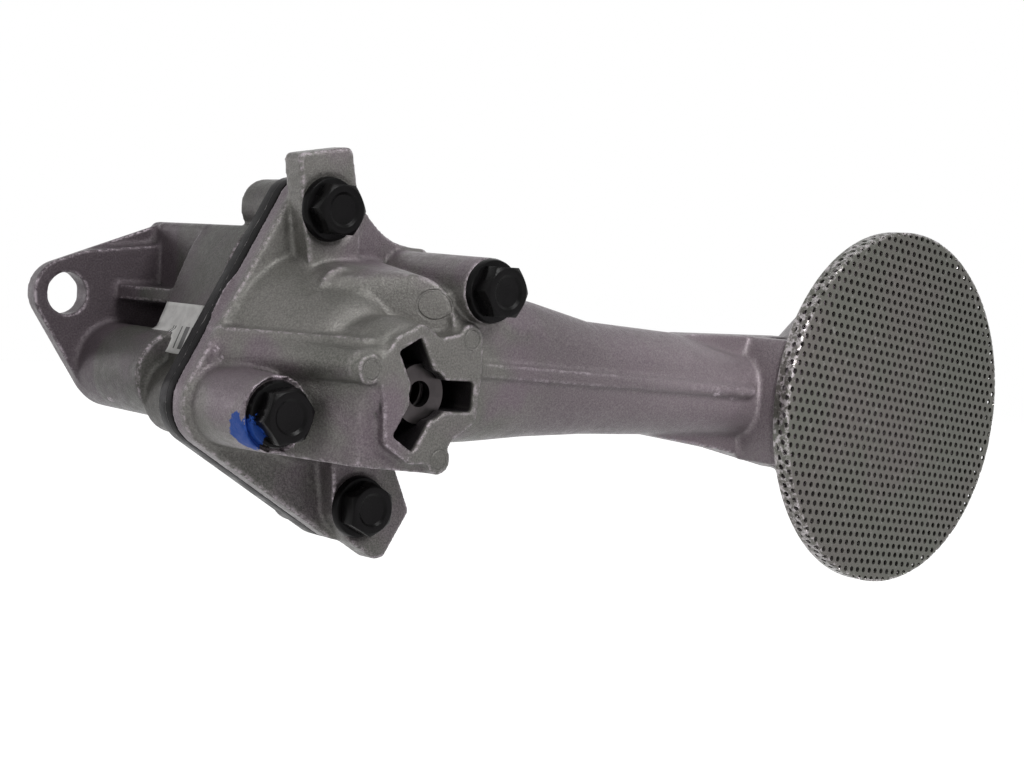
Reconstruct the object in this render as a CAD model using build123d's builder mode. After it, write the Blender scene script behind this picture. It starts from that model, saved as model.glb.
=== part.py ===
from build123d import *

import math
import os

# Engine oil pump with a cast-on suction arm.
# Millimetres. The mounting face lies in the plane Y = 0, the drive shaft turns about the Y axis,
# and the pump stands in front of its mounting face, towards -Y. +X runs along the arm, +Z is up.
# Depths named *_y are distances in front of the mounting face, as used by at(depth).

os.makedirs("parts", exist_ok=True)

# Stack of castings along the shaft
mount_flange = 5.0
flange_step = 2.3
body_depth = 39.5
chamber_block = 17.5
lobe_deep = 9.5
parting_flange = 3.5
plate_thick = 5.0
cover_flange = 4.5
tab_thick = 5.3
left_boss_rise = 19.0
right_boss_rise = 29.8
relief_rise = 29.5

block_y = body_depth - chamber_block
lobe_y = body_depth - lobe_deep
cover_y = body_depth + plate_thick
rim_y = cover_y + cover_flange
tab_y = rim_y + tab_thick
left_boss_y = rim_y + left_boss_rise
right_boss_y = rim_y + right_boss_rise
face_y = rim_y + relief_rise

# Clearances
running_gap = 0.05
side_gap = 0.03
press_gap = 0.02
screw_clearance = 0.3
fit_gap = 0.05
pad_sink = 0.5
pad_corner = 1.5

# Cover screws, M6 with a 10 mm hexagon and a captive washer
screw_d = 6.0
screw_af = 10.0
screw_head = 4.0
washer_d = 13.4
washer_t = 1.5
spot_d = 14.6
spot_small = 0.6
spot_large = 1.0
spot_room = 12.0
head_chamfer = 0.6
head_corner_r = 0.58 * screw_af
head_flat_r = 0.48 * screw_af
head_dish_r = 0.36 * screw_af
head_dish_floor_r = 0.3 * screw_af
head_dish = 0.4
screw_point = 0.7
washer_taper = 15.0
short_screw = 25.0
left_screw = 45.0
right_screw = 55.0
bottom_screw_turn = 30.0
left_screw_turn = 10.0
hole_run_out = 2.0
left_boss_r = 8.2
right_boss_r = 7.3

top_screw_at = (-4.2, 18.5)
bottom_screw_at = (7.3, -42.9)
left_screw_at = (-23.3, -21.6)
right_screw_at = (19.6, 4.1)
top_edge = 6.5
bottom_edge = 8.0
side_edge = 9.5
waist_at = (24.0, 38.0)
waist_r = 26.1
body_inset = 2.2

# Gear set
teeth = 9
module = 2.5
pressure_angle = math.radians(25)
backlash = 0.12
gear_width = 15.0
gear_line_angle = -85.0
shaft_d = 12.0
idler_d = 10.0
bush_wall = 1.5
hub_d = 20.0
shaft_stub = 16.0
stub_d = 11.0
stub_start = -0.5
tongue_length = 6.0
tongue_thick = 5.0
key_width = 3.0
key_in_shaft = 1.9
key_in_gear = 1.0
key_length = 10.0
ring_wall = 2.0
ring_thick = 1.0
ring_groove = 0.7
ring_sink = 0.25
ring_recess = 1.5
ring_opening = 4.0
ring_r = shaft_d / 2 - ring_groove + ring_wall
key_start = 2.0
shaft_end_gap = 0.3
shaft_chamfer = 0.6
pin_chamfer = 0.5
idler_y = 9.0
bush_start = 4.0

pitch_r = module * teeth / 2
base_r = pitch_r * math.cos(pressure_angle)
tip_r = pitch_r + module
root_r = pitch_r - 1.25 * module
tooth_root_sink = 0.5
centre_distance = 2 * pitch_r
gear_line = math.radians(gear_line_angle)
drive_at = (0.0, 0.0)
driven_at = (centre_distance * math.cos(gear_line), centre_distance * math.sin(gear_line))
chamber_r = tip_r + 2 * running_gap
chamber_depth = gear_width + 2 * side_gap
floor_y = body_depth - chamber_depth
gear_front_y = floor_y + side_gap + gear_width
key_angle = gear_line_angle + 160.0

# Ports
suction_port_at = (-10.5, -10.0)
suction_port_d = 9.0
pressure_port_at = (9.0, -12.5)
pressure_port_d = 10.0
outlet_at = (15.0, -13.0)
outlet_d = 10.0
outlet_deep = 20.0
outlet_slot_width = 8.0
outlet_boss_d = 21.0
seal_section = 1.8
seal_r = 7.4
seal_proud = 0.2
groove_gap = 0.1

# Suction gallery in the cover, from the foot of the arm round to the suction port
gallery_y = rim_y + 0.5
gallery_deep = 8.5
gallery_width = 7.0
gallery_wall = 2.6
link_at = (26.0, -13.0)
link_r = 4.5
link_rise = 13.0
link_end = rim_y + link_rise
gallery_bends = [link_at, (13.0, -2.5), (-4.0, 1.5), suction_port_at]

# Cast domes over the gallery and the ramp between the left screw and the relief valve
dome_at = (-2.0, -12.0)
dome_r = 22.0
dome_rise = 20.0
dome_taper = 27.0
bulge_at = (3.0, -5.5)
bulge_r = 14.5
bulge_rise = 17.0
bulge_taper = 12.0
dome_round = 9.0
bulge_round = 5.0
ramp_left = -26.0
ramp_top = -6.0
ramp_step = 3.0
ramp_crest = 2.0
ramp_depth = 40.0
tab_slope = (1.0, 16.5)
tab_slope_z = (4.0, 26.0)
cast_taper = 1.5
pad_taper = 1.0
neck_taper = 2.0

# Mounting flange
mount_hole_d = 9.0
mount_hole_at = (36.0, 2.3)
mount_corner = 7.6
mount_draft = 8.0
foot_boss_at = (-24.0, -17.5)
foot_boss_d = 18.4
column_left = -14.3
column_top = 14.3
column_width = 12.0
block_wall_r = 19.3
block_corner_at = (-22.0, -14.0)
block_corner_r = 4.5
chamber_wall = 3.0
corner_r = 1.5
rib_thick = 3.0
rib_z = -1.5
rib_out = 25.0
rib_slant = 4.0
overlap = 1.0
boss_step = 1.0
idler_wall = 3.0
strip_left = -34.0
strip_low = 6.8
strip_rise = 9.2
strip_gap = 0.2

# Relief valve
relief_at = (5.0, -17.0)
relief_bore_d = 12.0
relief_lip = 3.5
relief_mouth_r = 5.0
slot_r = 11.3
slot_width = 6.1
slot_angle = -2.0
slot_start = 7.5
pin_boss_r = 3.0
housing_round = 1.5
pin_bosses = [(10.1, 11.3), (3.2, -12.9), (-14.6, 5.0)]
housing_corners = [
    (-11.4, 0.0),
    (-13.4, 5.0),
    (-8.9, 11.4),
    (-2.6, 14.2),
    (2.4, 11.4),
    (8.0, 12.6),
    (13.2, 9.8),
    (13.2, 2.5),
    (12.4, -5.6),
    (6.6, -9.0),
    (3.2, -13.6),
    (-4.0, -13.6),
    (-10.6, -9.6),
]
relief_port_d = 8.0
piston_length = 12.0
piston_crown = 3.0
piston_wall = 1.1
spring_wire = 1.2
spring_turns = 7
spring_room = 0.2
seat_thick = 1.6
seat_hole_d = 5.3

# Suction arm, bell and screen
arm_front = 27.5
arm_deep = 20.0
arm_wall = 3.0
arm_corner = 8.5
web_front = 21.0
web_deep = 8.0
bead_width = 3.2
bead_rise = 1.2
bead_middle = (61.1, -14.35)
bead_end = (103.4, -16.7)
strainer_at = (150.7, -20.1)
screen_r = 44.2
screen_rise = 37.3
screen_wall = 4.5
screen_sheet = 0.8
screen_fold = 1.6
crimp_width = 1.8
bell_wall = 3.0
bell_back_r = 20.0
bell_back_rise = 7.0
neck_gap = 1.0
bell_rim_r = screen_r - screen_sheet - fit_gap
bell_neck_r = screen_r - crimp_width - neck_gap
collar_x = (104.0, 119.0)
collar_z = (-34.0, -4.0)
collar_corner = 3.0

# Dowels
dowel_d = 5.0
dowel_length = 12.0
dowel_in_cover = 3.5
dowel_points = [(-18.5, -5.0), (-13.5, -32.5)]

dowel_y = cover_y + dowel_in_cover - dowel_length

arm_y = rim_y + arm_front
arm_mid = arm_y - arm_deep / 2
web_y = rim_y + web_front
screen_y = rim_y + screen_rise
screen_back_y = screen_y - screen_wall
bell_back_y = rim_y + bell_back_rise
bell_neck_y = screen_back_y + screen_sheet + fit_gap
bell_rim_y = screen_y - screen_sheet - fit_gap
relief_stop_y = face_y - relief_lip

# Stations along the arm: distance along X, lower edge and upper edge
arm_stations = [
    (12.0, -28.0, 3.0),
    (24.0, -27.7, 4.0),
    (38.0, -27.0, 2.2),
    (56.0, -26.8, -1.7),
    (84.0, -27.5, -3.6),
    (104.0, -28.0, -8.0),
    (134.0, -30.0, -10.0),
]

# Corners of the cast pads and of the web, as (X, Z)
top_tab = [(-8.2, 5.0), (-12.4, 29.2), (0.7, 31.7), (3.2, 20.0), (4.4, 5.0)]
bottom_tab = [(-0.5, -32.0), (1.4, -45.0), (5.6, -50.4), (12.2, -54.6), (14.6, -54.2), (20.9, -44.5), (15.0, -32.0)]
web_corners = [(62.0, -24.0), (80.0, -27.8), (103.5, -31.6), (128.0, -37.2), (128.0, -3.8), (90.4, -3.7), (62.0, -6.0)]

screw_edges = {
    top_screw_at: top_edge,
    bottom_screw_at: bottom_edge,
    left_screw_at: side_edge,
    right_screw_at: side_edge,
}
screw_points = list(screw_edges)
lobe_radii = {top_screw_at: 6.0, bottom_screw_at: 6.5, left_screw_at: 7.8, right_screw_at: 7.8}
screw_lengths = {
    top_screw_at: short_screw,
    bottom_screw_at: short_screw,
    left_screw_at: left_screw,
    right_screw_at: right_screw,
}
screw_turns = {bottom_screw_at: bottom_screw_turn, left_screw_at: left_screw_turn}
screw_seats = {
    top_screw_at: tab_y - spot_small,
    bottom_screw_at: tab_y - spot_small,
    left_screw_at: left_boss_y - spot_large,
    right_screw_at: right_boss_y - spot_large,
}


def at(depth):
    """The plane that lies this far in front of the mounting face, facing away from it."""
    return Plane.XZ.offset(depth)


def parting_outline(inset):
    """Outline shared by the body, the separator plate and the cover flange."""
    with BuildSketch() as outline:
        for point, edge in screw_edges.items():
            with Locations(point):
                Circle(edge - inset)
        make_hull()
        with Locations(waist_at):
            Circle(waist_r + inset, mode=Mode.SUBTRACT)
    return outline.sketch


def tooth_half_angle(radius):
    """Half the angle that a tooth covers at this radius."""
    alpha = math.acos(min(1.0, base_r / radius))
    spread = math.tan(pressure_angle) - pressure_angle - (math.tan(alpha) - alpha)
    return math.pi / (2 * teeth) + spread - backlash / (2 * pitch_r)


def tooth_point(radius, side):
    angle = side * tooth_half_angle(max(radius, base_r))
    return (radius * math.cos(angle), radius * math.sin(angle))


def gear_outline():
    """Nine involute teeth on their root circle, with one tooth pointing along local X."""
    flank_radii = [base_r + (tip_r - base_r) * step / 4 for step in range(5)]
    inner_r = root_r - tooth_root_sink
    with BuildSketch() as tooth:
        with BuildLine():
            Line(tooth_point(inner_r, -1), tooth_point(base_r, -1))
            Spline([tooth_point(radius, -1) for radius in flank_radii])
            ThreePointArc(tooth_point(tip_r, -1), (tip_r, 0), tooth_point(tip_r, 1))
            Spline([tooth_point(radius, 1) for radius in reversed(flank_radii)])
            Line(tooth_point(base_r, 1), tooth_point(inner_r, 1))
            Line(tooth_point(inner_r, 1), tooth_point(inner_r, -1))
        make_face()
    with BuildSketch() as outline:
        Circle(root_r)
        with PolarLocations(0, teeth):
            add(tooth.sketch)
    return outline.sketch


def relief_face_outline():
    """Front face of the relief valve housing, a rounded shape with three ejector pin bosses."""
    with BuildSketch() as corner_shape:
        with BuildLine():
            Polyline(*housing_corners, close=True)
        make_face()
        fillet(corner_shape.vertices(), housing_round)
    housing = corner_shape.sketch
    with BuildSketch() as outline:
        with Locations(relief_at):
            add(housing)
            with Locations(*pin_bosses):
                Circle(pin_boss_r)
    return outline.sketch


def turning_plane(point):
    """Half plane through an axis along Y, with the radius along local x and depth along -y."""
    return Plane(origin=(point[0], 0, point[1]), x_dir=(1, 0, 0), z_dir=(0, 0, 1))


def turning_axis(point):
    return Axis((point[0], 0, point[1]), (0, 1, 0))


def rounded_boss(point, radius, rise, taper, top_round):
    """A tapered round form on the cover's flange, as wide as radius at the flange's front face."""
    with BuildPart(mode=Mode.PRIVATE) as boss:
        with BuildSketch(at(cover_y)):
            with Locations(point):
                Circle(radius + cover_flange * math.tan(math.radians(taper)))
        extrude(amount=cover_flange + rise, taper=taper)
        fillet(boss.faces().sort_by(Axis.Y)[0].edges(), top_round)
    return boss.part


def relief_ramp():
    """The block that climbs from the left screw boss to the relief valve."""
    left_pin = (relief_at[0] + pin_bosses[2][0], relief_at[1] + pin_bosses[2][1])
    low_pin = (relief_at[0] + pin_bosses[1][0], relief_at[1] + pin_bosses[1][1])
    with BuildPart(mode=Mode.PRIVATE) as ramp:
        with BuildSketch(at(cover_y)):
            with Locations(left_screw_at):
                Circle(left_boss_r)
            with Locations(low_pin):
                Circle(pin_boss_r)
            for corner_x in (ramp_left, relief_at[0]):
                with Locations((corner_x, ramp_top - corner_r)):
                    Circle(corner_r)
            make_hull()
        extrude(amount=face_y - cover_y)
        with BuildSketch(Plane.XY.offset(low_pin[1])):
            with BuildLine():
                Polyline(
                    (ramp_left, -cover_y),
                    (ramp_left, -rim_y),
                    (left_pin[0], -face_y + ramp_step),
                    (relief_at[0], -face_y + ramp_crest),
                    (low_pin[0], -face_y + ramp_crest),
                    (low_pin[0], -cover_y),
                    close=True,
                )
            make_face()
        extrude(amount=ramp_depth, both=True, mode=Mode.INTERSECT)
    return ramp.part


def tab_wedge():
    """The slope from the top tab down to the flange by the right screw."""
    start, end = tab_slope
    with BuildPart(mode=Mode.PRIVATE) as wedge:
        with BuildSketch(at(cover_y)):
            add(flange_outline)
        extrude(amount=tab_y - cover_y)
        with BuildSketch(Plane.XY.offset(tab_slope_z[0])):
            with BuildLine():
                Polyline(
                    (start, -cover_y),
                    (start, -tab_y + pad_sink),
                    (end, -rim_y),
                    (end, -cover_y),
                    close=True,
                )
            make_face()
        extrude(amount=tab_slope_z[1] - tab_slope_z[0], mode=Mode.INTERSECT)
    return wedge.part


flange_outline = parting_outline(0.0)
block_outline = parting_outline(body_inset)
teeth_outline = gear_outline()
relief_outline = relief_face_outline()

# Pump body: mounting flange, rear bosses and the gear chamber block
with BuildPart() as pump_body:
    with BuildSketch(at(0)):
        for side in (-1, 1):
            with Locations((side * mount_hole_at[0], side * mount_hole_at[1])):
                Circle(mount_corner)
        for side in (-1, 1):
            with Locations((side * (column_left + corner_r), column_top - corner_r)):
                Circle(corner_r)
        with Locations(foot_boss_at):
            Circle(foot_boss_d / 2)
        with Locations(outlet_at):
            Circle(outlet_boss_d / 2)
        make_hull()
        offset(amount=-mount_flange * math.tan(math.radians(mount_draft)), mode=Mode.REPLACE)
    extrude(amount=mount_flange, taper=-mount_draft)
    with BuildSketch(at(mount_flange / 2)):
        with Locations(foot_boss_at):
            Circle(foot_boss_d / 2)
    extrude(amount=lobe_y + overlap - mount_flange / 2)
    with BuildSketch(at(0)):
        with Locations(drive_at):
            Circle(hub_d / 2)
        with Locations(outlet_at):
            Circle(outlet_boss_d / 2 - boss_step)
        with Locations((column_left + column_width / 2, column_top / 2)):
            RectangleRounded(column_width, column_top, corner_r)
    extrude(amount=block_y + overlap)
    with BuildSketch(at(mount_flange - overlap)):
        with Locations(driven_at):
            Circle(idler_d / 2 + idler_wall)
    extrude(amount=block_y - mount_flange + 2 * overlap, taper=-neck_taper)
    with BuildSketch(Plane.XY.offset(rib_z - rib_thick / 2)):
        with BuildLine():
            Polyline(
                (-rib_out, -mount_flange + overlap),
                (-rib_out + rib_slant, -block_y - overlap),
                (0, -block_y - overlap),
                (0, -mount_flange + overlap),
                close=True,
            )
        make_face()
    extrude(amount=rib_thick)
    with BuildSketch(at(block_y)):
        with Locations(drive_at):
            Circle(block_wall_r)
        with Locations(block_corner_at):
            Circle(block_corner_r)
        with Locations(driven_at):
            Circle(chamber_r + chamber_wall)
        make_hull()
        with Locations((0, column_top)):
            Rectangle(3 * block_wall_r, block_wall_r, align=(Align.CENTER, Align.MIN), mode=Mode.SUBTRACT)
    extrude(amount=chamber_block)
    with BuildSketch(at(lobe_y)):
        for point, radius in lobe_radii.items():
            with Locations(point):
                Circle(radius)
    extrude(amount=lobe_deep)
    with BuildSketch(at(body_depth - parting_flange)):
        add(block_outline)
    extrude(amount=parting_flange)

    # Thinner strip of the flange along its upper left edge
    with BuildSketch(at(mount_flange - flange_step)):
        with BuildLine():
            Polyline(
                (strip_left, strip_low),
                (column_left - strip_gap, strip_rise),
                (column_left - strip_gap, column_top + mount_flange),
                (strip_left, column_top + mount_flange),
                close=True,
            )
        make_face()
    extrude(amount=flange_step + overlap, mode=Mode.SUBTRACT)

    # Gear chamber with its suction and pressure pockets
    with BuildSketch(at(floor_y)):
        with Locations(drive_at, driven_at):
            Circle(chamber_r)
        with Locations(suction_port_at):
            Circle(suction_port_d / 2)
        with Locations(pressure_port_at):
            Circle(pressure_port_d / 2)
    extrude(amount=chamber_depth, mode=Mode.SUBTRACT)
    with BuildSketch(at(0)):
        with Locations(outlet_at):
            Circle(outlet_d / 2)
    extrude(amount=outlet_deep, mode=Mode.SUBTRACT)
    with BuildSketch(at(outlet_deep)):
        slot_middle = ((outlet_at[0] + pressure_port_at[0]) / 2, (outlet_at[1] + pressure_port_at[1]) / 2)
        SlotCenterPoint(slot_middle, outlet_at, outlet_slot_width)
    extrude(amount=floor_y - outlet_deep, mode=Mode.SUBTRACT)
    with BuildSketch(at(0)):
        with Locations(outlet_at):
            Circle(seal_r + seal_section / 2 + groove_gap)
            Circle(seal_r - seal_section / 2 - groove_gap, mode=Mode.SUBTRACT)
    extrude(amount=seal_section - seal_proud, mode=Mode.SUBTRACT)

    # Shaft bores, mounting holes, screw and dowel holes
    with BuildSketch(at(0)):
        with Locations(drive_at):
            Circle(shaft_d / 2 + bush_wall + press_gap)
    extrude(amount=floor_y, mode=Mode.SUBTRACT)
    with BuildSketch(at(idler_y)):
        with Locations(driven_at):
            Circle(idler_d / 2 + press_gap)
    extrude(amount=floor_y - idler_y, mode=Mode.SUBTRACT)
    with BuildSketch(at(0)):
        for side in (-1, 1):
            with Locations((side * mount_hole_at[0], side * mount_hole_at[1])):
                Circle(mount_hole_d / 2)
    extrude(amount=mount_flange, mode=Mode.SUBTRACT)
    for point, length in screw_lengths.items():
        hole_end = screw_seats[point] - length - hole_run_out
        with BuildSketch(at(hole_end)):
            with Locations(point):
                Circle(screw_d / 2 + running_gap)
        extrude(amount=body_depth - hole_end, mode=Mode.SUBTRACT)
    with BuildSketch(at(dowel_y)):
        with Locations(*dowel_points):
            Circle(dowel_d / 2 + press_gap)
    extrude(amount=dowel_length, mode=Mode.SUBTRACT)
pump_body.part.label = "pump_body"
export_step(pump_body.part, "parts/pump_body.step")

# Separator plate between the body and the cover
with BuildPart() as separator_plate:
    with BuildSketch(at(body_depth)):
        add(flange_outline)
        with Locations(*screw_points):
            Circle(screw_d / 2 + screw_clearance, mode=Mode.SUBTRACT)
        with Locations(*dowel_points):
            Circle(dowel_d / 2 + press_gap, mode=Mode.SUBTRACT)
        with Locations(drive_at):
            Circle(shaft_d / 2 + running_gap, mode=Mode.SUBTRACT)
        with Locations(driven_at):
            Circle(idler_d / 2 + running_gap, mode=Mode.SUBTRACT)
        with Locations(suction_port_at):
            Circle(suction_port_d / 2, mode=Mode.SUBTRACT)
        with Locations(relief_at):
            Circle(relief_port_d / 2, mode=Mode.SUBTRACT)
    extrude(amount=plate_thick)
separator_plate.part.label = "separator_plate"
export_step(separator_plate.part, "parts/separator_plate.step")

# Pump cover: flange, pads, bosses, relief valve housing, suction arm and bell
with BuildPart() as pump_cover:
    with BuildSketch(at(cover_y)):
        add(flange_outline)
    extrude(amount=cover_flange)
    for corners in (top_tab, bottom_tab):
        with BuildSketch(at(rim_y - pad_sink)):
            with BuildLine():
                Polyline(*corners, close=True)
            pad = make_face()
            fillet(pad.vertices(), pad_corner)
        extrude(amount=tab_thick + pad_sink, taper=pad_taper)

    # Screw bosses, slightly tapered as cast
    with BuildSketch(at(cover_y)):
        with Locations(left_screw_at):
            Circle(left_boss_r)
    extrude(amount=left_boss_y - cover_y, taper=cast_taper)
    with BuildSketch(at(cover_y)):
        with Locations(right_screw_at):
            Circle(right_boss_r)
    extrude(amount=right_boss_y - cover_y, taper=pad_taper)

    # Domes over the gear chamber, and the sloping forms that join the tab and the relief valve to them
    add(rounded_boss(dome_at, dome_r, dome_rise, dome_taper, dome_round))
    add(rounded_boss(bulge_at, bulge_r, bulge_rise, bulge_taper, bulge_round))
    add(relief_ramp())
    add(tab_wedge())

    # Walls of the suction gallery and the neck under the foot of the arm
    with BuildSketch(at(rim_y - pad_sink)):
        for start, end in zip(gallery_bends, gallery_bends[1:]):
            middle = ((start[0] + end[0]) / 2, (start[1] + end[1]) / 2)
            SlotCenterPoint(middle, end, gallery_width + 2 * gallery_wall)
        with Locations(link_at):
            Circle(link_r + gallery_wall)
    extrude(amount=pad_sink + gallery_deep + gallery_wall, taper=neck_taper)

    # Relief valve housing
    with BuildSketch(at(cover_y)):
        add(relief_outline)
    extrude(amount=face_y - cover_y)

    # Suction arm with its bead and the fan-shaped web at its outer end
    for station, low, high in arm_stations:
        with BuildSketch(Plane(origin=(station, -arm_mid, 0), x_dir=(0, 1, 0), z_dir=(1, 0, 0))):
            with Locations((0, (low + high) / 2)):
                RectangleRounded(arm_deep, high - low, arm_corner)
    loft(ruled=True)
    with BuildSketch(at(web_y - web_deep)):
        with BuildLine():
            Polyline(*web_corners, close=True)
        make_face()
    extrude(amount=web_deep)
    with BuildSketch(at(arm_y - pad_sink)):
        SlotCenterPoint(bead_middle, bead_end, bead_width)
    extrude(amount=pad_sink + bead_rise)

    # Bell that carries the screen, and the collar where the arm meets it
    with BuildSketch(turning_plane(strainer_at)):
        with BuildLine():
            Polyline(
                (0, -bell_back_y),
                (bell_back_r, -bell_back_y),
                (bell_neck_r, -bell_neck_y),
                (bell_rim_r, -bell_neck_y),
                (bell_rim_r, -bell_rim_y + screen_fold),
                (bell_rim_r - screen_fold, -bell_rim_y),
                (0, -bell_rim_y),
                close=True,
            )
        make_face()
    revolve(axis=turning_axis(strainer_at))
    with BuildSketch(at(web_y - overlap)):
        with Locations(strainer_at):
            Circle(bell_rim_r)
        with Locations(((collar_x[0] + collar_x[1]) / 2, (collar_z[0] + collar_z[1]) / 2)):
            RectangleRounded(
                collar_x[1] - collar_x[0], collar_z[1] - collar_z[0], collar_corner, mode=Mode.INTERSECT
            )
    extrude(amount=screen_back_y - fit_gap - web_y + overlap)

    # Hollow of the bell and the passage down the arm to the suction port
    with BuildSketch(turning_plane(strainer_at)):
        with BuildLine():
            Polyline(
                (0, -bell_back_y - bell_wall),
                (bell_back_r - bell_wall / 2, -bell_back_y - bell_wall),
                (bell_neck_r - bell_wall, -bell_neck_y),
                (bell_neck_r - bell_wall, -bell_rim_y),
                (0, -bell_rim_y),
                close=True,
            )
        make_face()
    revolve(axis=turning_axis(strainer_at), mode=Mode.SUBTRACT)
    for station, low, high in arm_stations[1:]:
        with BuildSketch(Plane(origin=(station, -arm_mid, 0), x_dir=(0, 1, 0), z_dir=(1, 0, 0))):
            with Locations((0, (low + high) / 2)):
                RectangleRounded(
                    arm_deep - 2 * arm_wall, high - low - 2 * arm_wall, arm_corner - arm_wall
                )
    loft(ruled=True, mode=Mode.SUBTRACT)
    with BuildSketch(at(gallery_y)):
        with Locations(link_at):
            Circle(link_r)
    extrude(amount=link_end - gallery_y, mode=Mode.SUBTRACT)
    with BuildSketch(at(gallery_y)):
        for start, end in zip(gallery_bends, gallery_bends[1:]):
            middle = ((start[0] + end[0]) / 2, (start[1] + end[1]) / 2)
            SlotCenterPoint(middle, end, gallery_width)
    extrude(amount=gallery_deep, mode=Mode.SUBTRACT)
    with BuildSketch(at(cover_y)):
        with Locations(suction_port_at):
            Circle(suction_port_d / 2)
    extrude(amount=gallery_y + overlap - cover_y, mode=Mode.SUBTRACT)

    # Relief valve bore, its three discharge slots and the three-lobed mouth
    with BuildSketch(at(cover_y)):
        with Locations(relief_at):
            Circle(relief_bore_d / 2 + running_gap)
    extrude(amount=relief_stop_y - cover_y, mode=Mode.SUBTRACT)
    with BuildSketch(at(cover_y + slot_start)):
        with Locations(relief_at):
            Circle(relief_mouth_r)
            with PolarLocations(0, 3, start_angle=slot_angle):
                Rectangle(slot_r, slot_width, align=(Align.MIN, Align.CENTER))
    extrude(amount=face_y - cover_y - slot_start, mode=Mode.SUBTRACT)

    # Screw holes, spot faces and dowel holes
    with BuildSketch(at(cover_y)):
        with Locations(*screw_points):
            Circle(screw_d / 2 + screw_clearance)
    extrude(amount=right_boss_y - cover_y, mode=Mode.SUBTRACT)
    for point, seat in screw_seats.items():
        with BuildSketch(at(seat)):
            with Locations(point):
                Circle(spot_d / 2)
        extrude(amount=spot_room, mode=Mode.SUBTRACT)
    with BuildSketch(at(cover_y)):
        with Locations(*dowel_points):
            Circle(dowel_d / 2 + press_gap)
    extrude(amount=dowel_in_cover + fit_gap, mode=Mode.SUBTRACT)
pump_cover.part.label = "pump_cover"
export_step(pump_cover.part, "parts/pump_cover.step")

# Strainer screen, a cap folded round the rim of the bell and crimped behind it
with BuildPart() as strainer_screen:
    with BuildSketch(turning_plane(strainer_at)):
        with BuildLine():
            Polyline(
                (0, -screen_y),
                (screen_r - screen_fold, -screen_y),
                (screen_r - 0.3 * screen_fold, -screen_y + 0.3 * screen_fold),
                (screen_r, -screen_y + screen_fold),
                (screen_r, -screen_back_y),
                (screen_r - crimp_width, -screen_back_y),
                (screen_r - crimp_width, -screen_back_y - screen_sheet),
                (screen_r - screen_sheet, -screen_back_y - screen_sheet),
                (screen_r - screen_sheet, -screen_y + screen_fold),
                (screen_r - screen_fold, -screen_y + screen_sheet),
                (0, -screen_y + screen_sheet),
                close=True,
            )
        make_face()
    revolve(axis=turning_axis(strainer_at))
strainer_screen.part.label = "strainer_screen"
export_step(strainer_screen.part, "parts/strainer_screen.step")


def add_screw(point):
    """Hexagon screw with a chamfered, dished head; it stands on its washer."""
    head_y = screw_seats[point] + washer_t
    end_y = screw_seats[point] - screw_lengths[point]
    with BuildPart() as screw:
        with BuildSketch(at(head_y)):
            with Locations(point):
                RegularPolygon(screw_af / 2, 6, major_radius=False, rotation=screw_turns.get(point, 0.0))
        extrude(amount=screw_head)
        with BuildSketch(turning_plane(point)):
            with BuildLine():
                Polyline(
                    (0, -head_y),
                    (head_corner_r, -head_y),
                    (head_corner_r, -head_y - screw_head + head_chamfer),
                    (head_flat_r, -head_y - screw_head),
                    (head_dish_r, -head_y - screw_head),
                    (head_dish_floor_r, -head_y - screw_head + head_dish),
                    (0, -head_y - screw_head + head_dish),
                    close=True,
                )
            make_face()
        revolve(axis=turning_axis(point), mode=Mode.INTERSECT)
        with BuildSketch(at(end_y)):
            with Locations(point):
                Circle(screw_d / 2)
        extrude(amount=head_y - end_y)
        chamfer(screw.faces().sort_by(Axis.Y)[-1].edges(), screw_point)
    return screw.part


def add_washer(point):
    """Captive washer with a sloping rim."""
    seat = screw_seats[point]
    with BuildPart() as washer:
        with BuildSketch(at(seat)):
            with Locations(point):
                Circle(washer_d / 2)
        extrude(amount=washer_t, taper=washer_taper)
        with BuildSketch(at(seat)):
            with Locations(point):
                Circle(screw_d / 2 + running_gap)
        extrude(amount=washer_t, mode=Mode.SUBTRACT)
    return washer.part


screw_groups = {
    "cover_screws_short": [add_screw(top_screw_at), add_screw(bottom_screw_at)],
    "cover_screw_left": [add_screw(left_screw_at)],
    "cover_screw_right": [add_screw(right_screw_at)],
    "screw_washers": [add_washer(point) for point in screw_points],
}
for group_name, solids in screw_groups.items():
    with BuildPart() as screw_group:
        for solid in solids:
            add(solid)
    screw_group.part.label = group_name
    export_step(screw_group.part, f"parts/{group_name}.step")

# Dowel pins that line up the body, the plate and the cover
with BuildPart() as dowel_pins:
    with BuildSketch(at(dowel_y)):
        with Locations(*dowel_points):
            Circle(dowel_d / 2)
    extrude(amount=dowel_length)
    chamfer(dowel_pins.edges().filter_by(GeomType.CIRCLE), pin_chamfer)
dowel_pins.part.label = "dowel_pins"
export_step(dowel_pins.part, "parts/dowel_pins.step")

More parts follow.
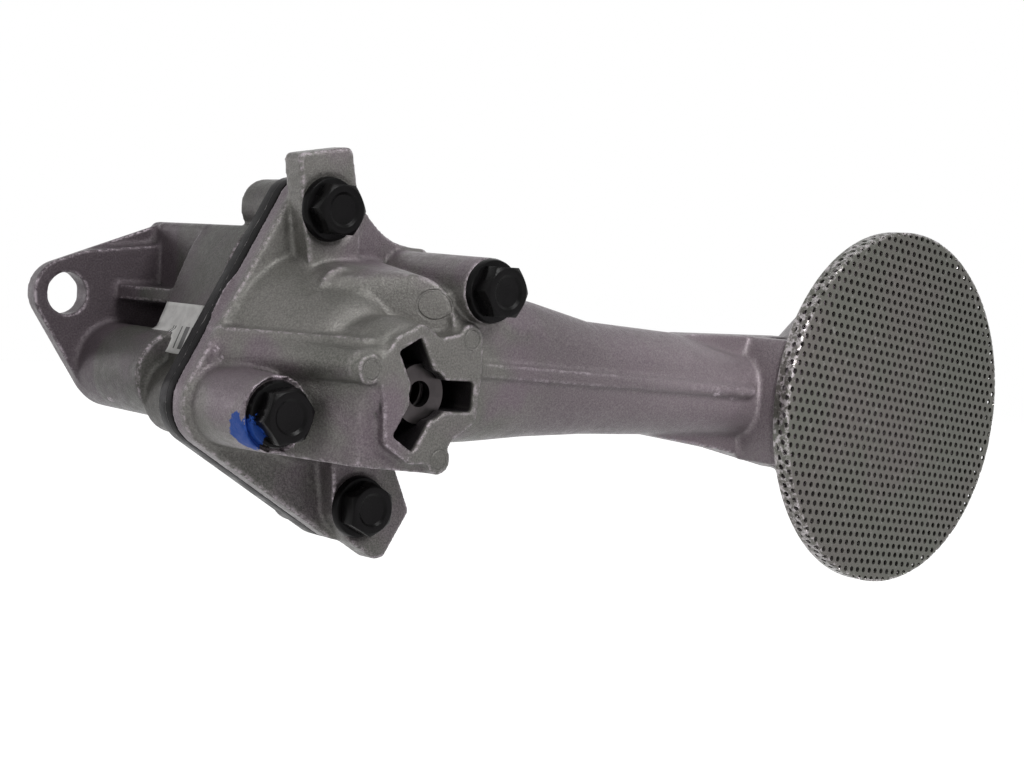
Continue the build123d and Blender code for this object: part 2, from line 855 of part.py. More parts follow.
# Drive shaft with its key seat, ring groove and driving tongue
shaft_front_y = cover_y - shaft_end_gap
ring_y = gear_front_y - ring_sink - ring_thick
key_y = floor_y + key_start
with BuildPart() as drive_shaft:
    with BuildSketch(at(-shaft_stub)):
        Circle(stub_d / 2)
    extrude(amount=shaft_stub + stub_start)
    with BuildSketch(at(stub_start)):
        Circle(shaft_d / 2)
    extrude(amount=shaft_front_y - stub_start)
    chamfer(drive_shaft.edges().filter_by(GeomType.CIRCLE).sort_by(Axis.Y)[-1], shaft_chamfer)
    with BuildSketch(at(-shaft_stub)):
        Rectangle(shaft_d, shaft_d)
        Rectangle(shaft_d, tongue_thick, mode=Mode.SUBTRACT)
    extrude(amount=tongue_length, mode=Mode.SUBTRACT)
    with BuildSketch(at(ring_y - running_gap)):
        Circle(shaft_d / 2)
        Circle(shaft_d / 2 - ring_groove, mode=Mode.SUBTRACT)
    extrude(amount=ring_thick + 2 * running_gap, mode=Mode.SUBTRACT)
    with BuildSketch(at(key_y)):
        with PolarLocations(shaft_d / 2 - key_in_shaft, 1, start_angle=key_angle):
            Rectangle(shaft_d, key_width, align=(Align.MIN, Align.CENTER))
    extrude(amount=key_length, mode=Mode.SUBTRACT)
drive_shaft.part.label = "drive_shaft"
export_step(drive_shaft.part, "parts/drive_shaft.step")

# Drive gear on the shaft, recessed in front for its snap ring
with BuildPart() as drive_gear:
    with BuildSketch(at(floor_y + side_gap)):
        add(teeth_outline, rotation=gear_line_angle)
        Circle(shaft_d / 2 + press_gap, mode=Mode.SUBTRACT)
        with PolarLocations(0, 1, start_angle=key_angle):
            Rectangle(
                shaft_d / 2 + key_in_gear + press_gap,
                key_width + 2 * press_gap,
                align=(Align.MIN, Align.CENTER),
                mode=Mode.SUBTRACT,
            )
    extrude(amount=gear_width)
    with BuildSketch(at(gear_front_y - ring_recess)):
        Circle(ring_r + 2 * running_gap)
    extrude(amount=ring_recess, mode=Mode.SUBTRACT)
drive_gear.part.label = "drive_gear"
export_step(drive_gear.part, "parts/drive_gear.step")

# Key between the drive shaft and its gear
with BuildPart() as gear_key:
    with BuildSketch(at(key_y)):
        with PolarLocations(shaft_d / 2 - key_in_shaft, 1, start_angle=key_angle):
            Rectangle(key_in_shaft + key_in_gear, key_width, align=(Align.MIN, Align.CENTER))
    extrude(amount=key_length)
gear_key.part.label = "gear_key"
export_step(gear_key.part, "parts/gear_key.step")

# Open snap ring that holds the drive gear on the shaft
with BuildPart() as gear_snap_ring:
    with BuildSketch(at(ring_y)):
        Circle(ring_r)
        Circle(shaft_d / 2 - ring_groove + running_gap, mode=Mode.SUBTRACT)
        Rectangle(ring_r + overlap, ring_opening, align=(Align.MIN, Align.CENTER), mode=Mode.SUBTRACT)
    extrude(amount=ring_thick)
gear_snap_ring.part.label = "gear_snap_ring"
export_step(gear_snap_ring.part, "parts/gear_snap_ring.step")

# Driven gear, in mesh with the drive gear, and the bush pressed into it
driven_bore_r = idler_d / 2 + bush_wall
with BuildPart() as driven_gear:
    with BuildSketch(at(floor_y + side_gap)):
        with Locations(driven_at):
            add(teeth_outline, rotation=gear_line_angle + 180.0 + 180.0 / teeth)
            Circle(driven_bore_r, mode=Mode.SUBTRACT)
    extrude(amount=gear_width)
driven_gear.part.label = "driven_gear"
export_step(driven_gear.part, "parts/driven_gear.step")

with BuildPart() as driven_gear_bush:
    with BuildSketch(at(floor_y + side_gap)):
        with Locations(driven_at):
            Circle(driven_bore_r - press_gap)
            Circle(idler_d / 2 + running_gap, mode=Mode.SUBTRACT)
    extrude(amount=gear_width)
driven_gear_bush.part.label = "driven_gear_bush"
export_step(driven_gear_bush.part, "parts/driven_gear_bush.step")

# Fixed idler shaft that the driven gear turns on
with BuildPart() as idler_shaft:
    with BuildSketch(at(idler_y + fit_gap)):
        with Locations(driven_at):
            Circle(idler_d / 2)
    extrude(amount=shaft_front_y - idler_y - fit_gap)
    chamfer(idler_shaft.edges().filter_by(GeomType.CIRCLE), pin_chamfer)
idler_shaft.part.label = "idler_shaft"
export_step(idler_shaft.part, "parts/idler_shaft.step")

# Bush for the drive shaft in the pump body
with BuildPart() as body_shaft_bush:
    with BuildSketch(at(bush_start)):
        Circle(shaft_d / 2 + bush_wall)
        Circle(shaft_d / 2 + running_gap, mode=Mode.SUBTRACT)
    extrude(amount=floor_y - bush_start)
body_shaft_bush.part.label = "body_shaft_bush"
export_step(body_shaft_bush.part, "parts/body_shaft_bush.step")

# Relief valve: cup-shaped piston, coil spring and the perforated seat of the spring
piston_y = cover_y + running_gap
seat_y = relief_stop_y - fit_gap - seat_thick
with BuildPart() as relief_piston:
    with BuildSketch(at(piston_y)):
        with Locations(relief_at):
            Circle(relief_bore_d / 2)
    extrude(amount=piston_length)
    chamfer(relief_piston.faces().sort_by(Axis.Y)[-1].edges(), shaft_chamfer)
    with BuildSketch(at(piston_y + piston_crown)):
        with Locations(relief_at):
            Circle(relief_bore_d / 2 - piston_wall)
    extrude(amount=piston_length - piston_crown, mode=Mode.SUBTRACT)
relief_piston.part.label = "relief_piston"
export_step(relief_piston.part, "parts/relief_piston.step")

spring_r = relief_bore_d / 2 - piston_wall - spring_wire / 2 - spring_room
spring_start = piston_y + piston_crown + spring_wire / 2 + fit_gap
spring_height = seat_y - spring_wire / 2 - fit_gap - spring_start
with BuildPart() as relief_spring:
    with BuildLine() as coil:
        Helix(
            pitch=spring_height / spring_turns,
            height=spring_height,
            radius=spring_r,
            center=(relief_at[0], -spring_start, relief_at[1]),
            direction=(0, -1, 0),
        )
    with BuildSketch(Plane(origin=coil.line @ 0, z_dir=coil.line % 0)):
        Circle(spring_wire / 2)
    sweep(path=coil.line, is_frenet=True)
relief_spring.part.label = "relief_spring"
export_step(relief_spring.part, "parts/relief_spring.step")

with BuildPart() as relief_spring_seat:
    with BuildSketch(at(seat_y)):
        with Locations(relief_at):
            Circle(relief_bore_d / 2)
            Circle(seat_hole_d / 2, mode=Mode.SUBTRACT)
    extrude(amount=seat_thick)
relief_spring_seat.part.label = "relief_spring_seat"
export_step(relief_spring_seat.part, "parts/relief_spring_seat.step")

# Seal ring round the outlet, standing slightly proud of the mounting face
with BuildPart() as outlet_seal:
    with BuildSketch(turning_plane(outlet_at)):
        with Locations((seal_r, seal_proud - seal_section / 2)):
            Circle(seal_section / 2)
    revolve(axis=turning_axis(outlet_at))
outlet_seal.part.label = "outlet_seal"
export_step(outlet_seal.part, "parts/outlet_seal.step")
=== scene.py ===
import math

import bpy
import numpy as np
from mathutils import Matrix, Vector


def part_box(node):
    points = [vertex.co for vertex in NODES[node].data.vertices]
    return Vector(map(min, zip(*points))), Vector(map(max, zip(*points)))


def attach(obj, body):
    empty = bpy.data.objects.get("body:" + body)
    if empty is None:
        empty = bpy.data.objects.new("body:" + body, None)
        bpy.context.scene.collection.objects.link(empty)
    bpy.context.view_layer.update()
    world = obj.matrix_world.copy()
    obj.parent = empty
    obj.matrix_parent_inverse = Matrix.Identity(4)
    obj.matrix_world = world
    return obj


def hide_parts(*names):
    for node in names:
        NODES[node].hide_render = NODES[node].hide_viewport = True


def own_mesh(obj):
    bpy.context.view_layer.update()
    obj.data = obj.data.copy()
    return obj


bl_info = {
    "name": "Oil pump looks",
    "version": (1, 0, 0),
    "blender": (4, 5, 0),
    "location": "3D View > Sidebar > Oil pump",
    "description": "Dresses the solids of an engine oil pump with cast, punched and blackened surfaces",
    "category": "Object",
}

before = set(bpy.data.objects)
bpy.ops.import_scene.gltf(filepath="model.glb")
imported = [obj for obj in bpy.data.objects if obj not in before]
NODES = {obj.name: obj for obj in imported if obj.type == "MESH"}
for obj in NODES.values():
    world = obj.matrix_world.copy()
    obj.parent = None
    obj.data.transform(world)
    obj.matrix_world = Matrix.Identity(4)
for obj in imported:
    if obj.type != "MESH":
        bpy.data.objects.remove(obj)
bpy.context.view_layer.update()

MM = 0.001
FLOAT = "NodeSocketFloat"
MATERIALS = {}
GROUPS = {}

# Places on the pump, in metres; the screws' and pin marks' x and z, and all discs, in millimetres
PAINT_AT = (-28.6 * MM, -65.8 * MM, -24.6 * MM)
MOUTH_AT = (5.0 * MM, -78.5 * MM, -17.0 * MM)
JOINT_Y = -43.5 * MM
SCREWS_AT = [(-4.2, 18.5), (7.3, -42.9), (-23.3, -21.6), (19.6, 4.1)]
PIN_MARKS = [(15.1, -5.7, 2.0), (8.2, -29.9, 2.0), (-9.6, -12.0, 2.0), (9.7, 0.6, 3.0)]

# Relief valve: bore, the three slots of its mouth, and the valve's front and back
BORE_R = 6.2 * MM
SLOT_LENGTH, SLOT_DEPTH, SLOT_WIDTH = 11.4 * MM, 28.5 * MM, 6.2 * MM
SLOT_ANGLES = (-2.0, 118.0, 238.0)
VALVE_FRONT, VALVE_BACK = -80.0 * MM, -44.0 * MM

# Where the castings keep their sharp corners, and how deep a hollow is that gets a fillet
SCREW_CLEAR = 8.0 * MM
MOUTH_CLEAR = 12.2 * MM
MOUTH_BACK = -55.0 * MM
HOLLOW_LOW, HOLLOW_RANGE = 0.012, 0.05

# Cast forms of the cover as hulls of round discs: x, y, z, radius, turn about Z in degrees
CREST_TURN = -33.0
CAST_LUMPS = {
    "crown": [
        (-1.0, -46.0, -7.5, 16.0, 0.0),
        (8.0, -46.0, -5.5, 15.2, 0.0),
        (-1.0, -56.5, -5.4, 13.2, 0.0),
        (-4.0, -62.6, -4.4, 9.8, CREST_TURN),
        (6.4, -69.4, -2.4, 8.8, CREST_TURN),
        (-3.3, -63.6, -4.4, 8.9, CREST_TURN),
        (7.1, -70.4, -2.4, 7.9, CREST_TURN),
        (-3.0, -64.2, -4.4, 7.2, CREST_TURN),
        (7.5, -71.0, -2.4, 6.2, CREST_TURN),
    ],
    "spine": [
        (-22.6, -46.5, -10.8, 4.8, 0.0),
        (-10.6, -76.8, -11.4, 3.2, 0.0),
        (-10.0, -77.9, -11.6, 2.4, 0.0),
        (-6.6, -77.9, -9.8, 1.6, 0.0),
        (-6.2, -76.8, -9.4, 2.2, 0.0),
    ],
    "shoulder": [
        (-10.0, -52.0, -13.5, 9.0, 0.0),
        (0.0, -72.5, -12.6, 11.0, 0.0),
        (1.2, -76.2, -13.4, 10.4, 0.0),
        (1.6, -77.8, -13.8, 8.6, 0.0),
    ],
    "bead": [
        (58.0, -74.5, -14.2, 2.3, 0.0),
        (58.0, -76.9, -14.2, 1.5, 0.0),
        (58.0, -77.9, -14.2, 0.6, 0.0),
        (103.6, -74.5, -16.7, 2.3, 0.0),
        (103.6, -77.2, -16.7, 1.5, 0.0),
        (103.6, -78.4, -16.7, 0.6, 0.0),
    ],
}

# Label on the body's wall
LABEL_REAR, LABEL_FRONT = -22.4 * MM, -37.6 * MM
LABEL_TOP, LABEL_BOTTOM = (-22.05, 0, -2.6), (-26.0, 0, -12.9)

# Stage: the photograph's camera, and the lamps as place, aim, size, power, colour and spread in degrees
CAMERA_AT = (-0.1978, -0.3285, 0.009)
CAMERA_RIGHT = (0.74602564, -0.66289732, 0.06334738)
CAMERA_AHEAD = (0.66591722, 0.74264245, -0.07096793)
CAMERA_SENSOR, CAMERA_LENS, CAMERA_NEAR = 36.0, 57.66, 0.01
PUMP_MIDDLE = (0.06, -0.05, -0.015)
ARM_END = (0.12, -0.066, -0.014)
PINKISH = (1.0, 0.97, 1.0)
LAMPS = {
    "key": ((0.1, -0.57, 0.44), PUMP_MIDDLE, 0.24, 2.7, (1.0, 1.0, 1.0), 180.0),
    "side": ((-0.68, -0.32, 0.2), PUMP_MIDDLE, 0.3, 1.05, (1.0, 1.0, 0.98), 180.0),
    "low": ((0.35, -0.65, -0.2), PUMP_MIDDLE, 0.5, 0.3, (1.0, 0.86, 1.0), 180.0),
    "edge": ((-0.34, 0.52, 0.06), PUMP_MIDDLE, 0.25, 0.7, PINKISH, 180.0),
    "arm": ((0.04, -0.21, 0.05), ARM_END, 0.05, 0.022, PINKISH, 46.0),
}
WORLD_LIGHT = 0.15
FLOOR_Z, FLOOR_SIZE = -0.26, 6

# Finishes: share of metal and shine of the castings, shine of blackened steel
CAST_METAL = 0.35
CAST_SHINE = 0.3
BLACK_SHINE = 0.08
BLACK_TONE = (0.003, 0.0028, 0.003)
RUBBED_BLACK = (0.12, 0.11, 0.11, 1.0)


# Working with meshes


def deselect_all():
    if bpy.context.object and bpy.context.object.mode != "OBJECT":
        bpy.ops.object.mode_set(mode="OBJECT")
    bpy.ops.object.select_all(action="DESELECT")


def activate(obj):
    deselect_all()
    obj.select_set(True)
    bpy.context.view_layer.objects.active = obj


def edit_all(obj):
    activate(obj)
    bpy.ops.object.mode_set(mode="EDIT")
    bpy.ops.mesh.select_all(action="SELECT")


def leave_edit():
    bpy.ops.object.mode_set(mode="OBJECT")


def apply_modifiers(obj):
    activate(obj)
    for name in [modifier.name for modifier in obj.modifiers]:
        bpy.ops.object.modifier_apply(modifier=name)


def place(obj, matrix):
    """Moves a finished mesh to its place and leaves its object at the origin."""
    activate(obj)
    obj.matrix_world = matrix
    bpy.ops.object.transform_apply(location=True, rotation=True, scale=True)


def edit_faces(obj, chosen):
    """Opens edit mode with the faces selected for which chosen(centre, normal) is true."""
    edit_all(obj)
    bpy.ops.mesh.select_mode(type="FACE")
    bpy.ops.mesh.select_all(action="DESELECT")
    leave_edit()
    for polygon in obj.data.polygons:
        polygon.select = chosen(polygon.center, polygon.normal)
    bpy.ops.object.mode_set(mode="EDIT")


def smooth_by_angle(obj, angle):
    activate(obj)
    bpy.ops.object.shade_smooth_by_angle(angle=math.radians(angle))


def finish_piece(obj, material, body, slot, *replaced):
    """Gives a new piece its material, its body and the nodes that it stands for."""
    if not obj.data.materials:
        obj.data.materials.append(MATERIALS[material])
    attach(obj, body)
    if replaced:
        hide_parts(*replaced)


def welded_copy(node, name):
    """A copy of a CAD node whose loose triangles are merged."""
    obj = bpy.data.objects.new(name, NODES[node].data.copy())
    obj.data.materials.clear()
    bpy.context.scene.collection.objects.link(obj)
    activate(obj)
    if obj.data.has_custom_normals:
        bpy.ops.mesh.customdata_custom_splitnormals_clear()
    edit_all(obj)
    bpy.ops.mesh.remove_doubles(threshold=0.002 * MM)
    leave_edit()
    return obj


def disc_hull(name, discs):
    """A smooth lump of metal: the hull of round discs (x, y, z, radius, turn), in millimetres and degrees."""
    deselect_all()
    x, y, z, radius, turn = discs[0]
    angles = (math.radians(90), 0, math.radians(turn))
    spot = Vector((x, y, z)) * MM
    bpy.ops.mesh.primitive_circle_add(vertices=64, radius=radius * MM, location=spot, rotation=angles)
    lump = bpy.context.object
    lump.name = name
    bpy.ops.object.transform_apply(location=True, rotation=True, scale=True)
    bpy.ops.object.mode_set(mode="EDIT")
    for x, y, z, radius, turn in discs[1:]:
        angles = (math.radians(90), 0, math.radians(turn))
        spot = Vector((x, y, z)) * MM
        bpy.ops.mesh.primitive_circle_add(vertices=64, radius=radius * MM, location=spot, rotation=angles)
    bpy.ops.mesh.select_all(action="SELECT")
    bpy.ops.mesh.convex_hull()
    bpy.ops.mesh.normals_make_consistent(inside=False)
    leave_edit()
    return lump


def join_into(obj, lumps):
    deselect_all()
    for lump in lumps:
        lump.select_set(True)
    obj.select_set(True)
    bpy.context.view_layer.objects.active = obj
    bpy.ops.object.join()


def mark_hollows(obj, spread):
    """Puts the vertices of concave corners in a group, wider with each round, but not by the fits."""
    count = len(obj.data.vertices)
    spots = np.empty(3 * count)
    outward = np.empty(3 * count)
    ends = np.empty(2 * len(obj.data.edges), dtype=int)
    obj.data.vertices.foreach_get("co", spots)
    obj.data.vertices.foreach_get("normal", outward)
    obj.data.edges.foreach_get("vertices", ends)
    spots, outward, ends = spots.reshape(-1, 3), outward.reshape(-1, 3), ends.reshape(-1, 2)
    linked = np.bincount(ends.ravel(), minlength=count)

    def around(values):
        first, last = ends[:, 0], ends[:, 1]
        total = np.bincount(first, values[last], count) + np.bincount(last, values[first], count)
        return total / np.maximum(linked, 1)

    pull = np.column_stack([around(spots[:, axis]) - spots[:, axis] for axis in range(3)])
    depth = np.einsum("ij,ij->i", pull, outward) / MM
    weight = np.clip((depth - HOLLOW_LOW) / HOLLOW_RANGE, 0.0, 1.0)
    for _ in range(spread):
        weight = np.maximum(weight, around(weight))
    for x, z in SCREWS_AT:
        weight[np.hypot(spots[:, 0] - x * MM, spots[:, 2] - z * MM) < SCREW_CLEAR] = 0.0
    mouth = np.hypot(spots[:, 0] - MOUTH_AT[0], spots[:, 2] - MOUTH_AT[2]) < MOUTH_CLEAR
    weight[mouth & (spots[:, 1] < MOUTH_BACK)] = 0.0
    group = obj.vertex_groups.new(name="hollows")
    for index in np.nonzero(weight > 0.05)[0]:
        group.add([int(index)], float(weight[index]), "REPLACE")


def as_casting(obj, voxel, rounds, fillet_rounds, most):
    """Wears the edges of sharp solids and fills their inner corners, as a die casting has them."""
    remesh = obj.modifiers.new("Remesh", "REMESH")
    remesh.mode = "VOXEL"
    remesh.voxel_size = voxel
    smooth = obj.modifiers.new("Smooth", "SMOOTH")
    smooth.factor = 0.5
    smooth.iterations = rounds
    apply_modifiers(obj)
    mark_hollows(obj, 5)
    fillet = obj.modifiers.new("Fillet", "SMOOTH")
    fillet.factor = 0.5
    fillet.iterations = fillet_rounds
    fillet.vertex_group = "hollows"
    apply_modifiers(obj)
    obj.vertex_groups.clear()
    triangles = sum(len(polygon.vertices) - 2 for polygon in obj.data.polygons)
    if triangles > most:
        thin = obj.modifiers.new("Decimate", "DECIMATE")
        thin.ratio = most / triangles
        apply_modifiers(obj)
    activate(obj)
    bpy.ops.object.shade_smooth()


def turned_ring(profile, steps):
    """A closed ring round Z: a circle is extruded from point to point of the (radius, height) profile."""
    radius, height = profile[0]
    deselect_all()
    bpy.ops.mesh.primitive_circle_add(vertices=steps, radius=radius, location=(0, 0, height))
    ring = bpy.context.object
    bpy.ops.object.mode_set(mode="EDIT")
    bpy.ops.mesh.select_all(action="SELECT")
    for next_radius, next_height in profile[1:] + profile[:1]:
        bpy.ops.mesh.extrude_edges_move(TRANSFORM_OT_translate={"value": (0, 0, next_height - height)})
        growth = next_radius / radius
        bpy.ops.transform.resize(value=(growth, growth, 1))
        radius, height = next_radius, next_height
    bpy.ops.mesh.select_all(action="SELECT")
    bpy.ops.mesh.remove_doubles(threshold=0.005 * MM)
    bpy.ops.mesh.normals_make_consistent(inside=False)
    leave_edit()
    bpy.ops.object.transform_apply(location=True, rotation=True, scale=True)
    return ring


# Shader nodes


class Net:
    """Adds nodes to a tree from left to right and links them."""

    def __init__(self, tree):
        self.tree = tree
        self.count = 0

    def add(self, kind, values=None, **kinds):
        node = self.tree.nodes.new(kind)
        self.count += 1
        node.location = (170 * self.count - 2600, -70 * (self.count % 6))
        for key, value in kinds.items():
            setattr(node, key, value)
        for key, value in (values or {}).items():
            self.put(node.inputs[key], value)
        return node

    def put(self, socket, value):
        if isinstance(value, bpy.types.NodeSocket):
            self.tree.links.new(value, socket)
        else:
            socket.default_value = value

    def math(self, operation, first, second=0.0):
        node = self.add("ShaderNodeMath", {0: first, 1: second}, operation=operation)
        return node.outputs[0]

    def mix(self, factor, first, second):
        node = self.add("ShaderNodeMix", {0: factor, 6: first, 7: second}, data_type="RGBA")
        return node.outputs[2]

    def noise(self, vector, scale, detail=3.0, rough=0.5):
        values = {"Vector": vector, "Scale": scale, "Detail": detail, "Roughness": rough}
        return self.add("ShaderNodeTexNoise", values).outputs["Fac"]

    def ramp(self, value, low, high, out_low=0.0, out_high=1.0):
        values = {"Value": value, "From Min": low, "From Max": high, "To Min": out_low, "To Max": out_high}
        return self.add("ShaderNodeMapRange", values, interpolation_type="SMOOTHSTEP").outputs[0]

    def object_place(self):
        return self.add("ShaderNodeTexCoord").outputs["Object"]

    def distance(self, first, second):
        node = self.add("ShaderNodeVectorMath", {0: first, 1: second}, operation="DISTANCE")
        return node.outputs["Value"]

    def group(self, name, values=None):
        node = self.add("ShaderNodeGroup", node_tree=GROUPS[name])
        for key, value in (values or {}).items():
            self.put(node.inputs[key], value)
        return node.outputs


def new_group(name, inputs, outputs):
    """An empty node group with named number sockets, and the net that fills it."""
    tree = bpy.data.node_groups.new(name, "ShaderNodeTree")
    for label, value in inputs:
        tree.interface.new_socket(name=label, in_out="INPUT", socket_type=FLOAT).default_value = value
    for label in outputs:
        tree.interface.new_socket(name=label, in_out="OUTPUT", socket_type=FLOAT)
    net = Net(tree)
    GROUPS[name] = tree
    return net, net.add("NodeGroupInput").outputs, net.add("NodeGroupOutput").inputs


def cast_grain_group():
    """Die-cast skin: cloudy tone, purple zones, painted shade towards the bottom and a darker arm, a fine
    grain, its height and its roughness.
    """
    outputs = ["Cloud", "Tint", "Low shade", "Speck", "Height", "Roughness"]
    net, given, out = new_group("Cast grain", [("Grain", 1.0)], outputs)
    spot = net.object_place()
    cloud = net.noise(spot, 60.0, 4.0, 0.6)
    mottle = net.noise(spot, 520.0, 3.0, 0.6)
    fine = net.noise(spot, 2600.0, 3.0, 0.75)
    net.put(out["Cloud"], net.ramp(cloud, 0.32, 0.68))
    parts = net.add("ShaderNodeSeparateXYZ", {"Vector": spot}).outputs
    arm = net.ramp(parts["X"], 20.0 * MM, 45.0 * MM, 0.0, 0.9)
    flange = net.ramp(parts["Y"], -14.0 * MM, -11.0 * MM)
    from_joint = net.math("ABSOLUTE", net.math("SUBTRACT", parts["Y"], JOINT_Y))
    joint = net.ramp(from_joint, 3.0 * MM, 5.5 * MM, 1.0, 0.0)
    patch = net.ramp(net.noise(spot, 36.0, 3.0, 0.6), 0.45, 0.62)
    tint = net.math("MAXIMUM", net.math("MAXIMUM", arm, flange), net.math("MAXIMUM", joint, patch))
    net.put(out["Tint"], tint)
    # Painted shade: darker towards the bottom, and the arm somewhat darker too
    low = net.ramp(parts["Z"], -44.0 * MM, -20.0 * MM, 1.0, 0.0)
    net.put(out["Low shade"], net.math("MAXIMUM", low, net.math("MULTIPLY", arm, 0.45)))
    net.put(out["Speck"], net.math("MULTIPLY", net.ramp(fine, 0.35, 0.68), given["Grain"]))
    rise = net.math("ADD", net.math("MULTIPLY", mottle, 0.5), net.math("MULTIPLY", fine, 0.5))
    net.put(out["Height"], net.math("MULTIPLY", rise, given["Grain"]))
    net.put(out["Roughness"], net.ramp(mottle, 0.3, 0.7, 0.3, 0.46))


def edge_highlight_shade_group():
    """Painted highlight on a dense mesh's convex edges, broken up like rubbed wear, and painted shade where
    the mesh is hollow.
    """
    net, given, out = new_group("Edge highlight and hollow shade", [("Spread", 0.035)], ["Edge", "Hollow"])
    point = net.add("ShaderNodeNewGeometry").outputs["Pointiness"]
    ragged = net.ramp(net.noise(net.object_place(), 700.0, 5.0, 0.8), 0.44, 0.62)
    edge = net.add("ShaderNodeMapRange", {"Value": point, "From Min": 0.512})
    net.put(edge.inputs["From Max"], net.math("ADD", given["Spread"], 0.512))
    hollow = net.add("ShaderNodeMapRange", {"Value": point, "From Max": 0.485, "To Min": 1.0, "To Max": 0.0})
    net.put(hollow.inputs["From Min"], net.math("SUBTRACT", 0.485, given["Spread"]))
    net.put(out["Edge"], net.math("MULTIPLY", edge.outputs[0], ragged))
    net.put(out["Hollow"], hollow.outputs[0])


def paint_mark_group():
    """A dab of blue assembly paint by the left screw."""
    net, given, out = new_group("Paint mark", [("Radius", 3.4 * MM)], ["Mask"])
    spot = net.object_place()
    ragged = net.math("MULTIPLY", net.noise(spot, 340.0, 5.0, 0.75), 7.0 * MM)
    away = net.math("ADD", net.distance(spot, PAINT_AT), ragged)
    net.put(out["Mask"], net.ramp(net.math("SUBTRACT", away, given["Radius"]), 0.0, 0.35 * MM, 1.0, 0.0))


def pin_mark_group():
    """The round mark that an ejector pin leaves on a casting's front."""
    net, given, out = new_group("Pin mark", [("X", 0.0), ("Z", 0.0), ("Radius", 2.0 * MM)], ["Height"])
    parts = net.add("ShaderNodeSeparateXYZ", {"Vector": net.object_place()}).outputs
    aside = net.math("POWER", net.math("SUBTRACT", parts["X"], given["X"]), 2.0)
    above = net.math("POWER", net.math("SUBTRACT", parts["Z"], given["Z"]), 2.0)
    away = net.math("SQRT", net.math("ADD", aside, above))
    gap = net.math("ABSOLUTE", net.math("SUBTRACT", away, given["Radius"]))
    net.put(out["Height"], net.ramp(gap, 0.1 * MM, 0.32 * MM, 1.0, 0.0))


def mouth_shade_group():
    """Painted shade in the relief valve's mouth: 1 in the slots and the bore, 0 on the face and outside."""
    net, given, out = new_group("Relief mouth shade", [("Depth", 0.5 * MM)], ["Mask"])
    spot = net.object_place()
    parts = net.add("ShaderNodeSeparateXYZ", {"Vector": spot}).outputs
    aside = net.math("POWER", net.math("SUBTRACT", parts["X"], MOUTH_AT[0]), 2.0)
    above = net.math("POWER", net.math("SUBTRACT", parts["Z"], MOUTH_AT[2]), 2.0)
    near = net.ramp(net.math("SQRT", net.math("ADD", aside, above)), 11.4 * MM, 11.8 * MM, 1.0, 0.0)
    deep = net.math("SUBTRACT", parts["Y"], MOUTH_AT[1])
    sunk = net.ramp(net.math("SUBTRACT", deep, given["Depth"]), 0.0, 0.8 * MM)
    net.put(out["Mask"], net.math("MULTIPLY", near, sunk))


def worn_black_group():
    """Blackened steel: faint mottling, rubbed spots and a fine height."""
    net, given, out = new_group("Worn black", [("Wear", 0.5)], ["Cloud", "Rub", "Height"])
    spot = net.object_place()
    rub = net.math("ADD", net.noise(spot, 700.0, 4.0, 0.7), net.math("MULTIPLY", given["Wear"], 0.12))
    net.put(out["Cloud"], net.ramp(net.noise(spot, 240.0, 3.0), 0.3, 0.7))
    net.put(out["Rub"], net.ramp(rub, 0.72, 0.78))
    net.put(out["Height"], net.noise(spot, 1900.0, 2.0))


def turned_group():
    """Fine rings that turning or grinding leaves round an axis along Y, and cloudy oil film."""
    net, given, out = new_group("Turned rings", [("Rings per metre", 2500.0)], ["Ring", "Cloud"])
    spot = net.object_place()
    along = net.add("ShaderNodeSeparateXYZ", {"Vector": spot}).outputs["Y"]
    turn = net.math("MULTIPLY", net.math("MULTIPLY", along, given["Rings per metre"]), 2 * math.pi)
    net.put(out["Ring"], net.ramp(net.math("SINE", turn), -1.0, 1.0))
    net.put(out["Cloud"], net.ramp(net.noise(spot, 300.0, 3.0), 0.3, 0.7))


def new_material(name):
    material = bpy.data.materials.new(name)
    material.use_nodes = True
    MATERIALS[name] = material
    return Net(material.node_tree), material.node_tree.nodes["Principled BSDF"].inputs


def put_bump(net, shader, height, distance, strength):
    node = net.add("ShaderNodeBump", {"Height": height, "Distance": distance, "Strength": strength})
    net.put(shader["Normal"], node.outputs[0])


def opaque(color, share=1.0):
    return tuple(share * part for part in color[:3]) + (1.0,)


